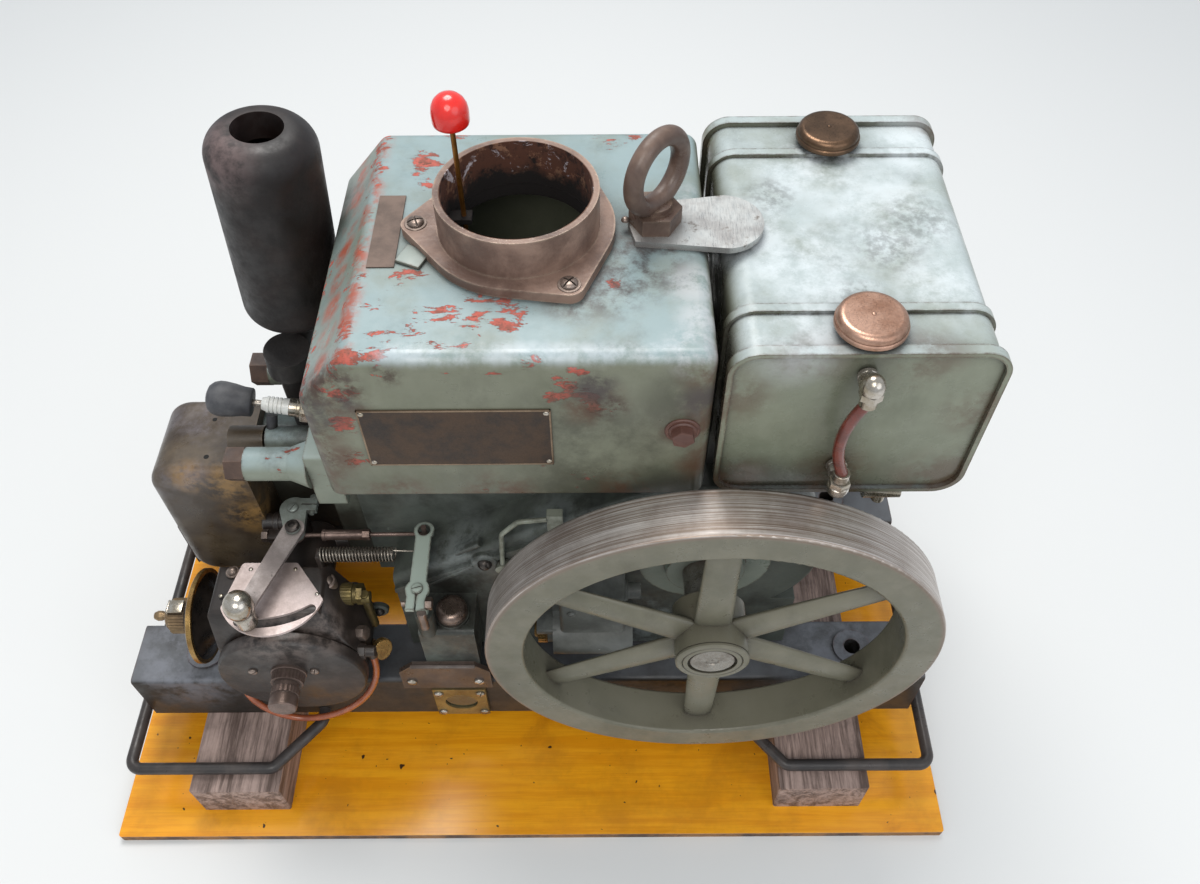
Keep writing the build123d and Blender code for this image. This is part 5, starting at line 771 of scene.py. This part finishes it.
def sawn(radius, height, slot=1.3, cross=False, base=0.45):
    """A domed head with a slot across it, or a cross."""
    low = height * base
    whole = disc(radius, low, 0.01)
    for way_x, way_y in ((1, 1), (-1, 1), (-1, -1), (1, -1)) if cross else ((0, 1), (0, -1)):
        part = dome(radius, height, low)
        for way in (Vector((way_x, 0, 0)), Vector((0, way_y, 0))):
            if way.length:
                bmesh.ops.bisect_plane(part, geom=part.verts[:] + part.edges[:] + part.faces[:],
                                       plane_co=way * slot / 2, plane_no=way, clear_inner=True)
                bmesh.ops.holes_fill(part, edges=[e for e in part.edges if e.is_boundary])
        join(whole, part)
    return whole


def bar(length, width, height, edge=0.5):
    form = bmesh.new()
    bmesh.ops.create_cube(form, size=1)
    bmesh.ops.scale(form, vec=(length, width, height), verts=form.verts)
    bmesh.ops.bevel(form, geom=form.edges[:], offset=edge, offset_type="OFFSET", segments=2, profile=0.5, affect="EDGES",
                    material=-1)
    return form


def place(at, way=(0, 0, 1), roll=0.0):
    aim = Vector(way).to_track_quat("Z", "Y").to_matrix().to_4x4()
    return Matrix.Translation(Vector(at)) @ aim @ turn(math.radians(roll), "Z")


def fitting(name, body, material, forms, sharp=32):
    whole = bmesh.new()
    for form, where in forms:
        bmesh.ops.recalc_face_normals(form, faces=form.faces)
        bmesh.ops.transform(form, matrix=Matrix.Scale(MM, 4) @ where, verts=form.verts)
        join(whole, form)
    mesh = bpy.data.meshes.new(name)
    whole.to_mesh(mesh)
    whole.free()
    mesh.shade_smooth()
    mesh.set_sharp_from_angle(angle=math.radians(sharp))
    obj = bpy.data.objects.new(name, mesh)
    bpy.context.collection.objects.link(obj)
    return finish_piece(obj, body, material)


DOWN_X, UP_X, NEAR, UP = (-1, 0, 0), (1, 0, 0), (0, -1, 0), (0, 0, 1)
nickel = metal_finish("bright nickel", srgb(206, 200, 193), srgb(150, 138, 118), srgb(66, 52, 38), 0.18, 0.2)
screw_brown = metal_finish("browned screw", srgb(156, 140, 130), srgb(108, 94, 86), srgb(48, 38, 32), 0.34, 0.35, 0.8)
dark_screw = metal_finish("oil-black screw", srgb(84, 78, 74), srgb(52, 46, 42), srgb(30, 26, 22), 0.3, 0.3, 0.8)
warm_brass = metal_finish("rubbed brass", srgb(188, 152, 92), srgb(132, 102, 62), srgb(60, 44, 28), 0.28, 0.3)
# Near-black discs that stand for the dark inside small holes: painted shade.
painted_hole_shade = plain_finish("dark of a hole", srgb(12, 11, 10), srgb(20, 18, 16), 60, 0.8)
print("fitting finishes ready")

# %% [markdown]
# ## Float gauge
#
# A brass rod carries a red ball cap above the collar, and a float below in the water. The CAD
# solid keeps the motion. This piece is slimmer, with the cap as round as the real one.

# %% Float gauge
GAUGE_X, GAUGE_Y = -23, 8
CAP_PROFILE = [(0, 0), (11.2, 0), (12.6, 1.2), (13.2, 3.4), (13.2, 10.5), (12.5, 14.6), (10.6, 18.4), (7.6, 21.3),
               (4, 23), (0, 23.6)]
gauge_cap = fitting("gauge_cap", "float_gauge", finishes["red_ball"],
                    [(turned(CAP_PROFILE, 40), place((GAUGE_X, GAUGE_Y, 729.4)))], 50)
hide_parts("float_gauge")
gauge_rod = fitting("gauge_rod", "float_gauge", metal_finish(
    "browned brass rod", srgb(176, 122, 58), srgb(128, 84, 40), srgb(84, 50, 28), 0.34, 0.3),
    [(disc(1.9, 212), place((GAUGE_X, GAUGE_Y, 519))), (turned([(0, 0), (21.5, 3), (22, 13), (21.5, 23), (0, 26)]),
                                                       place((GAUGE_X, GAUGE_Y, 519)))])

# %% [markdown]
# ## Governor spring
#
# A close coil of thin wire pulls the governor lever. A small circle is spun about the coil's axis
# and moved on at each step, which makes a true helix. A straight wire leads from it to the lever.

# %% Governor spring
SPRING_FROM, SPRING_TO = (-187, -84.5, 322.6), (-117, -84.5, 322.6)
COIL_R, WIRE_R, TURNS, STEPS = 6.6, 0.85, 23, 18
coil = bmesh.new()
ring = bmesh.ops.create_circle(coil, segments=8, radius=WIRE_R)["verts"]
bmesh.ops.rotate(coil, matrix=Matrix.Rotation(math.radians(90), 3, "X"), verts=ring)
bmesh.ops.translate(coil, vec=(COIL_R, 0, 0), verts=ring)
pitch = (SPRING_TO[0] - SPRING_FROM[0]) / TURNS
bmesh.ops.spin(coil, geom=coil.verts[:] + coil.edges[:], cent=(0, 0, 0), axis=(0, 0, 1), dvec=(0, 0, pitch / STEPS),
               angle=math.tau * TURNS, steps=TURNS * STEPS)
bmesh.ops.holes_fill(coil, edges=[e for e in coil.edges if e.is_boundary])
WIRE_LONG = 19
spring = fitting("governor_spring_coil", "engine", metal_finish(
    "spring wire", srgb(176, 168, 156), srgb(116, 106, 96), srgb(58, 46, 38), 0.26, 0.25),
    [(coil, place(SPRING_FROM, UP_X)), (disc(WIRE_R, WIRE_LONG, 0.1, 10), place((-117, -84.5, 329.2), (1, -0.02, -0.03)))], 60)
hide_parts("governor_spring")
print("spring turns", TURNS, "pitch", round(pitch, 2))

# %% [markdown]
# ## Speed control fittings
#
# The throttle arm is clamped on its shaft with a small screw, a pin with a socket head joins arm,
# hand lever and link rod, and a bright ball knob sits on the hand lever. Each fitting rides on the
# body that carries it, so it turns with its lever.

# %% Speed control fittings
ARM_TOP, SHAFT_AT, PIN_AT = 332, (-219, -38), (-213.5, -63.5)
fitting("throttle_arm_screws", "throttle_arm", own["throttle_arm"], [
    (sawn(5, 1.6, 0.9), place((*SHAFT_AT, 333.3), UP, 60)),
    (hexagon(8, 4), place((-201, -25.8, 329), (0, 1, 0))), (disc(2.2, 18), place((-201, -43, 329), (0, 1, 0)))])
fitting("throttle_pin_head", "throttle_arm", dark_screw, [
    (turned([(0, 0), (7, 0), (6.8, 2), (5.6, 3.2), (3.2, 3.6), (3.2, 1.2), (0, 1.2)]), place((*PIN_AT, 339)))])
KNOB_FORM = [(0, 0), (9.3, 0), (9.3, 14), (10.4, 15), (10.4, 17), (9.2, 19), (11.6, 22.6), (13.1, 28), (13.3, 32),
             (12.6, 37), (10.4, 41.2), (7, 44), (3.4, 45.2), (0, 45.4)]
fitting("speed_lever_knob", "speed_lever", nickel, [(turned(KNOB_FORM, 40), place((-244, -151, 314.4)))])
fitting("link_rod_nuts", "link_rod", own["link_rod"], [
    (hexagon(9.6, 7), place((-149.6, -63.1, 323.7), UP_X)), (disc(5.6, 3), place((-188, -63.3, 323.7), UP_X))])
fitting("governor_lever_screws", "governor_lever", own["governor_lever"], [
    (sawn(5, 1.6, 0.9), place((-90.5, -125.5, 330.4), UP, 15))])
fitting("governor_clamp_bolt", "governor_lever", screw_brown, [
    (hexagon(10.5, 6), place((-81.5, -140, 327.6), UP_X, 10)), (disc(2.6, 4), place((-103.4, -140, 327.6), UP_X)),
    (disc(4.2, 27), place((-84.6, -149.5, 301)))])
RIVET_PLACES = [(-253, -95), (-211, -95), (-275, -123), (-186, -122)]
fitting("quadrant_rivets", "engine", nickel,
        [(dome(2.1, 1.2), place((x, y, 313.9))) for x, y in RIVET_PLACES])
print("speed control fittings", len(RIVET_PLACES), "rivets")

# %% [markdown]
# ## Carburettor fittings
#
# The drum carries a stepped bowl nut, two pan screws, a knurled choke knob with a spring clip in
# its bell, a thumb screw on its right side and a brass fuel elbow behind it.

# %% Carburettor drum
DRUM_X, DRUM_Z, DRUM_R = -222, 226, 71
LID_NEAR, LID_FAR, BLOCK_FAR, FLAT_TOP = -165, -151, -88, 311
block = bmesh.new()
for depth in (LID_FAR + 2, BLOCK_FAR):
    ring = bmesh.ops.create_circle(block, segments=56, radius=DRUM_R - 1)["verts"]
    bmesh.ops.rotate(block, matrix=Matrix.Rotation(math.radians(90), 3, "X"), verts=ring)
    bmesh.ops.translate(block, vec=(DRUM_X, depth, DRUM_Z), verts=ring)
for x, depth in ((-286, -140), (-182, -140), (-286, BLOCK_FAR), (-182, BLOCK_FAR)):
    block.verts.new((x, depth, FLAT_TOP))
hull = bmesh.ops.convex_hull(block, input=block.verts[:])
inside = [g for g in hull["geom_interior"] + hull["geom_unused"] if isinstance(g, bmesh.types.BMVert)]
bmesh.ops.delete(block, geom=inside, context="VERTS")
bmesh.ops.dissolve_limit(block, angle_limit=math.radians(2), verts=block.verts[:], edges=block.edges[:])
top = [e for e in block.edges if all(v.co.z > FLAT_TOP - 0.1 for v in e.verts)]
bmesh.ops.bevel(block, geom=top, offset=5, offset_type="OFFSET", segments=3, profile=0.5, affect="EDGES", material=-1)
LID = [(0, 0), (DRUM_R - 5, 0), (DRUM_R - 2, 1), (DRUM_R - 0.5, 3), (DRUM_R, 6), (DRUM_R, 13), (DRUM_R - 1, 14.4), (0, 14.4)]
hose_end = Vector(HOSE_ROUTE[-1])
hose_way = hose_end - Vector(HOSE_ROUTE[-2])
drum = fitting("carburettor_drum", "engine", own["carburettor_body"], [
    (block, Matrix()), (turned(LID, 72), place((DRUM_X, LID_NEAR, DRUM_Z), (0, 1, 0))),
    (disc(24, 66, 2, 40), place((-212, -90, 268), (0, 1, 0))), (disc(12, 36), place((-212, -32, 268), UP_X)),
    (disc(10, 57.7), place((-219, -38, 268))), (disc(5.6, 20), place((-161, -146, 245), UP_X)),
    (disc(4.6, 10), place((-145, -146, 236))), (disc(4.6, 15), place(hose_end, hose_way)),
    (hexagon(13, 7), place((-157, -146, 245), UP_X)),
    (bar(4, 11, 40), place((-188.3, -86, 308))), (disc(9, 24, 1), place((-226, -43, 316), DOWN_X)),
    (disc(10.4, 5, 1), place((-234, -43, 316), DOWN_X)), (bar(22, 12, 10, 1.5), place((-232, -58, 314)))], 34)
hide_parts("carburettor_body")
print("drum of radius", DRUM_R, "with its flat top at", FLAT_TOP)

# %% Carburettor fittings
BOWL_AT = (-222, -165, 240)
bowl = fitting("bowl_nut_turned", "engine", own["link_rod"], [
    (disc(17, 3, 0.6), place(BOWL_AT, NEAR)), (knurled(15.6, 9, 30, 0.5), place((-222, -168, 240), NEAR)),
    (disc(11.5, 7, 0.4), place((-222, -177, 240), NEAR)), (knurled(13.6, 6, 26, 0.5), place((-222, -183, 240), NEAR)),
    (disc(12.2, 3, 0.4), place((-222, -188.5, 240), NEAR)),
    (turned([(0, 0), (13.2, 0), (13.4, 1), (13.4, 10), (12.4, 11.4), (0, 11.6)]), place((-222, -191, 240), NEAR))])
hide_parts("bowl_nut")
fitting("drum_pan_screws", "engine", screw_brown, [
    (sawn(4.4, 3.2, 1.0), place((-256, -164.8, 243), NEAR, 30)), (sawn(4.4, 3.2, 1.0), place((-197, -164.8, 243), NEAR, 75)),
    (dome(6.4, 5), place((-183, -101.6, 303), UP)), (disc(8.8, 22, 1), place((-183, -101.6, 282), UP)),
    (dome(5, 4), place((-270, -97, 314), UP)), (disc(6.6, 20, 1), place((-270, -97, 294), UP)),
    (hexagon(11, 6), place((-243, -58, 315), DOWN_X))])
choke_disc = fitting("choke_disc", "engine", own["air_horn"], [
    (turned([(0, 0), (20, 0), (22, 1.5), (22, 5), (18, 6), (18, 8), (22, 9), (22, 12), (20.5, 13), (0, 13)]),
     place((-324, -96, 226), DOWN_X))])
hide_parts("choke_knob")
fitting("choke_knob_knurled", "engine", metal_finish(
    "dirty knurled brass", srgb(158, 134, 102), srgb(108, 88, 66), srgb(54, 42, 32), 0.36, 0.35), [
    (knurled(18, 17, 34, 0.9), place((-337, -96, 226), DOWN_X)), (disc(14, 5, 1.5), place((-354, -96, 226), DOWN_X)),
    (turned([(0, 0), (4, 0), (4, 5), (5, 7), (5.2, 11), (3.6, 14.6), (0, 15)]), place((-359, -96, 226), DOWN_X))])
fitting("choke_clip", "engine", nickel, [
    (bar(15, 14, 1.6), place((-347, -96, 245), UP)), (bar(1.6, 14, 9), place((-354.4, -96, 241.6), UP))])
fitting("bell_ring", "engine", warm_brass, [
    (turned([(43, 0), (47.4, 0), (47.8, 0.6), (47.8, 4.6), (46.8, 5.4), (43.4, 5.4), (43, 0)], 64), place((-319.4, -96, 226), DOWN_X))])
knob_aim = (0.76, -0.5, 0.42)
thumb = fitting("thumb_screw", "engine", warm_brass, [
    (disc(3.4, 12), place((-151, -122, 213), knob_aim)), (knurled(11, 5.6, 30, 0.6, 0.8), place((-144, -127.5, 215), knob_aim)),
    (disc(4.6, 10), place((-158, -118, 209), knob_aim))])
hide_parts("side_knob")
fitting("fuel_elbow", "engine", metal_finish(
    "olive brass elbow", srgb(128, 112, 68), srgb(84, 72, 44), srgb(40, 33, 23), 0.36, 0.5, 0.7), [
    (knurled(11, 13, 24, 0.4), place((-175, -102, 279), UP_X)), (disc(9.4, 5, 1), place((-162, -102, 279), UP_X)),
    (hexagon(18, 6), place((-158, -102, 279), UP_X)), (disc(4.4, 60), place((-150, -106, 226), UP)),
    (disc(6, 8), place((-153, -106, 279), UP_X))])
fitting("drum_drain_hex", "engine", screw_brown, [
    (hexagon(13, 9), place((-158, -130, 252), (0.9, -0.2, 0.35))), (disc(4.6, 8), place((-164, -129, 250), (0.9, -0.2, 0.35)))])
print("carburettor fittings done")

# %% [markdown]
# ## Spark plug and its cap
#
# The plug has a nickel hexagon, a white ribbed insulator and a small terminal, and its rubber cap
# widens to a round end. All lie on one axis that tilts up to the left.

# %% Spark plug and its cap
PLUG_TILT = math.radians(12)
PLUG_WAY = (-math.cos(PLUG_TILT), 0, math.sin(PLUG_TILT))


def on_plug(along):
    return place(Vector((-176, 0, 433)) + Vector(PLUG_WAY) * along, PLUG_WAY)


RIBS = [(0, 0), (8, 0)] + [(r, 13 + 3.6 * n + h) for n in range(5) for r, h in ((7.6, 0), (7.6, 2.2), (6.5, 2.5), (6.5, 3.3))]
insulator = fitting("plug_insulator", "engine", finishes["white_ceramic"], [
    (turned(RIBS + [(5.4, 34), (0, 34)], 36), on_plug(18))], 50)
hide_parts("spark_plug")
fitting("plug_metal", "engine", nickel, [
    (hexagon(21, 12, 1.2), on_plug(6)), (disc(9.4, 3, 0.6), on_plug(18)), (disc(8.6, 8, 0.6), on_plug(20)),
    (disc(3, 10), on_plug(51))])
CAP_FORM = [(0, 0), (12.2, 0), (13, 0.8), (13.4, 8), (15, 16), (16, 24), (16, 29), (14.4, 34), (11, 37.8), (6, 39.7), (0, 40)]
cap_rubber = fitting("plug_cap_rubber", "engine", finishes["black_rubber"], [
    (turned(CAP_FORM, 40), on_plug(60)), (disc(5, 14), place((-222, 0, 428), (-0.1, -0.55, -0.84)))], 50)
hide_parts("plug_cap")
# Painted shade: two near-black discs on the valve cover stand for the dark inside its small holes.
fitting("cover_holes", "engine", painted_hole_shade, [
    (disc(2.2, 0.5, 0.05), place((-286.6, 17.6, 399.7), UP)), (disc(2.4, 0.5, 0.05), place((-284.5, -26.6, 399.7), UP))])
print("plug and cap on their axis", [round(v, 2) for v in PLUG_WAY])

# %% [markdown]
# ## Screws and rivets on plates
#
# Bright pan screws hold the inspection plate and the oil sight, cross-head screws hold the collar,
# and small rivets hold the blank name plate, which has a thin pale rim.

# %% Screws and rivets on plates
PLATE_SCREWS = [(-119.5, 157), (-49.7, 157)]
SIGHT_SCREWS = [(-96, 126), (-51.5, 126), (-96.5, 80), (-51.3, 80)]
fitting("plate_screws", "engine", nickel,
        [(sawn(5.2, 3.4, 1.2), place((x, -136.8, z), NEAR, 40 * n)) for n, (x, z) in enumerate(PLATE_SCREWS)]
        + [(sawn(4.9, 3.2, 1.1), place((x, -136.8, z), NEAR, 25 + 50 * n)) for n, (x, z) in enumerate(SIGHT_SCREWS)])
fitting("plate_lip", "engine", own["inspection_plate"], [
    (bar(66, 4, 2), place((-83.5, -138, 193), (0, -0.5, 1)))])
COLLAR_SCREWS = [(-57.3, -4), (56.7, -69.8), (56.7, 61.8)]
fitting("collar_screws", "engine", screw_brown, [
    (sawn(6.2, 4.4, 1.4, cross=True), place((x, y, 652.8), UP, 20 + 31 * n)) for n, (x, y) in enumerate(COLLAR_SCREWS)])
fitting("collar_washers", "engine", screw_brown, [
    (disc(8.4, 1.2, 0.3), place((x, y, 652.6), UP)) for x, y in COLLAR_SCREWS])
NAME_RIVETS = [(-91.5, 591), (39.5, 591), (39.5, 535), (-91.5, 535)]
fitting("name_plate_rivets", "engine", nickel,
        [(dome(2.3, 1.3), place((x, -135, z), NEAR)) for x, z in NAME_RIVETS])
PLATE_X, PLATE_Y, PLATE_Z, PLATE_LONG, PLATE_TALL, RIM = -26, -134.7, 563, 137.6, 63.6, 1.4
rim_bars = [(bar(PLATE_LONG, 1.5, RIM, 0.3), Matrix.Translation((PLATE_X, PLATE_Y, PLATE_Z + side * (PLATE_TALL - RIM) / 2)))
            for side in (-1, 1)]
rim_bars += [(bar(RIM, 1.5, PLATE_TALL, 0.3), Matrix.Translation((PLATE_X + side * (PLATE_LONG - RIM) / 2, PLATE_Y, PLATE_Z)))
             for side in (-1, 1)]
fitting("name_plate_rim", "engine", metal_finish(
    "rubbed plate rim", srgb(152, 132, 110), srgb(112, 92, 74), srgb(70, 54, 42), 0.36, 0.4, 0.7),
    rim_bars)
fitting("hopper_top_screws", "engine", screw_brown, [(dome(3.2, 3), place((97, -2, 653), UP))])
fitting("collar_tab", "engine", finishes["green_paint"], [
    (bar(20, 19, 3, 0.8), place((-57, -33, 646.4), UP, -24))])
fitting("collar_sleeve", "engine", own["hopper_collar"], [
    (turned([(54.1, -9), (54.68, -9), (54.68, 2), (54.1, 2), (54.1, -9)], 72), place((18.7, -4, 645)))])
plug = fitting("hopper_plug_hex", "engine", own["hopper_plug"], [
    (disc(13, 1.6, 0.8), place((137, -134, 570), NEAR)), (disc(10.6, 3.4, 1), place((137, -134, 570), NEAR)),
    (hexagon(15.5, 7, 1.2), place((137, -137, 570), NEAR, 12))])
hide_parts("hopper_plug")
print("plate screws", len(PLATE_SCREWS) + len(SIGHT_SCREWS), "collar screws", len(COLLAR_SCREWS))

# %% [markdown]
# ## Crankcase, magneto and flywheel details
#
# The crankcase's near face has slim ribs that rise towards the crank and a few domed bolts. The
# flywheel's hub has a raised ring, and the shaft end shows its lathe centre.

# %% Crankcase, magneto and flywheel details
def rib(start, end, width=5, out=5):
    (x0, z0), (x1, z1) = start, end
    length = math.hypot(x1 - x0, z1 - z0)
    where = Matrix.Translation(((x0 + x1) / 2, -88, (z0 + z1) / 2)) @ turn(-math.atan2(z1 - z0, x1 - x0), "Y")
    return (bar(length, 2 * out, width, 1.4), where)


fitting("crankcase_ribs", "engine", own["crankcase"], [
    rib((-58, 333), (-34, 350)), rib((-92, 276), (-44, 312)), (disc(13, 6, 1.5), place((-32, -87, 318), NEAR)),
    (disc(10, 6, 1.5), place((-148, -87, 226), NEAR)), (bar(54, 3, 60, 1), place((-73, -90, 222)))])
fitting("crankcase_bolts", "engine", dark_screw, [
    (dome(7, 6), place((-32, -93, 318), NEAR)), (dome(5.4, 5), place((-147, -93, 227), NEAR)),
    (hexagon(15, 7), place((69, -86, 350), NEAR))])
fitting("magneto_fittings", "engine", finishes["magneto_alloy"], [
    (disc(8, 18, 1), place((97, -112, 300), UP_X)), (disc(10, 4, 1), place((99, -112, 300), UP_X)),
    (sawn(4, 3, 1), place((50, -136, 300), NEAR, 30)), (sawn(4, 3, 1), place((88, -136, 300), NEAR, 60)),
    (dome(3.4, 3), place((69, -112, 322), UP)), (bar(20, 30, 8, 1.5), place((24, -112, 244)))])
fitting("magneto_cap_brass", "engine", warm_brass, [
    (knurled(13.6, 9, 28, 0.4), place((24, -113, 226), DOWN_X)), (disc(8, 4, 1), place((15, -113, 226), DOWN_X))])
HUB_AT = (175, -192, 319)
HUB_RING = [(22, 0), (31.5, 0), (32.6, 1), (32.6, 3), (31.2, 4), (27.4, 4), (26.6, 3), (25.8, 4), (22, 4), (22, 0)]
for side, way, y in (("near", -1, -191.4), ("far", 1, 191.4)):
    if side == "near":
        fitting(f"hub_ring_{side}", "crank", finishes["wheel_paint"], [
            (turned(HUB_RING, 56), place((175, -191.6, 319), NEAR))])
        fitting(f"shaft_end_{side}", "crank", finishes["bright_steel"], [
            (turned([(0, 0), (19.4, 0), (19.6, 0.4), (19.6, 1.6), (19, 2), (6, 2), (5.4, 1), (2.4, 1), (0, -0.6)], 48),
             place((175, -193, 319), NEAR))])
print("ribs, bolts and hub ring")

# %% [markdown]
# ## Tank fittings
#
# The level gauge's ends are bright acorn nuts over hexagons, and each filler cap has a rolled edge
# with a small centre rivet.

# %% Tank fittings
ACORN = [(0, 0), (7, 0), (8.4, 1), (8.6, 5), (7.6, 9), (5.4, 12), (2.6, 13.6), (0, 14)]
gauge_ends = fitting("gauge_ends", "engine", nickel, [
    (turned(ACORN, 32), place((261, -144, 624))), (hexagon(15, 6), place((261, -144, 618))),
    (disc(6.4, 8), place((261, -144, 610))), (disc(5, 18), place((261, -126, 622), NEAR)),
    (disc(7, 3), place((261, -127.6, 622), NEAR)), (hexagon(13, 7), place((261, -130, 622), NEAR)),
    (disc(6.4, 8), place((258, -144, 523))), (hexagon(15, 6), place((258, -144, 516))),
    (turned(ACORN, 32), place((258, -144, 517), (0, 0, -1))), (disc(5, 18), place((258, -126, 519), NEAR)),
    (disc(8, 3), place((258, -127.6, 519), NEAR)), (hexagon(13, 7), place((258, -130, 519), NEAR))])
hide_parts("gauge_fittings")
for side, cap_y, metal in (("near", -105, finishes["copper"]), ("far", 105, own["tank_cap_far"])):
    fitting(f"tank_cap_rim_{side}", "engine", metal, [
        (turned([(22.5, 0), (24.9, 0), (25.6, 1), (25.6, 3.4), (24.9, 4.4), (22.5, 4.4), (22.5, 0)], 56),
         place((262, cap_y, 647.4))),
        (dome(1.8, 1.1), place((262, cap_y, 657.9)))])
print("gauge ends and cap rims")

# %% The hose itself
hose = nurbs_tube("fuel_hose_piece", HOSE_ROUTE, HOSE_DIAMETER, "engine", finishes["orange_hose"])
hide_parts("fuel_hose")
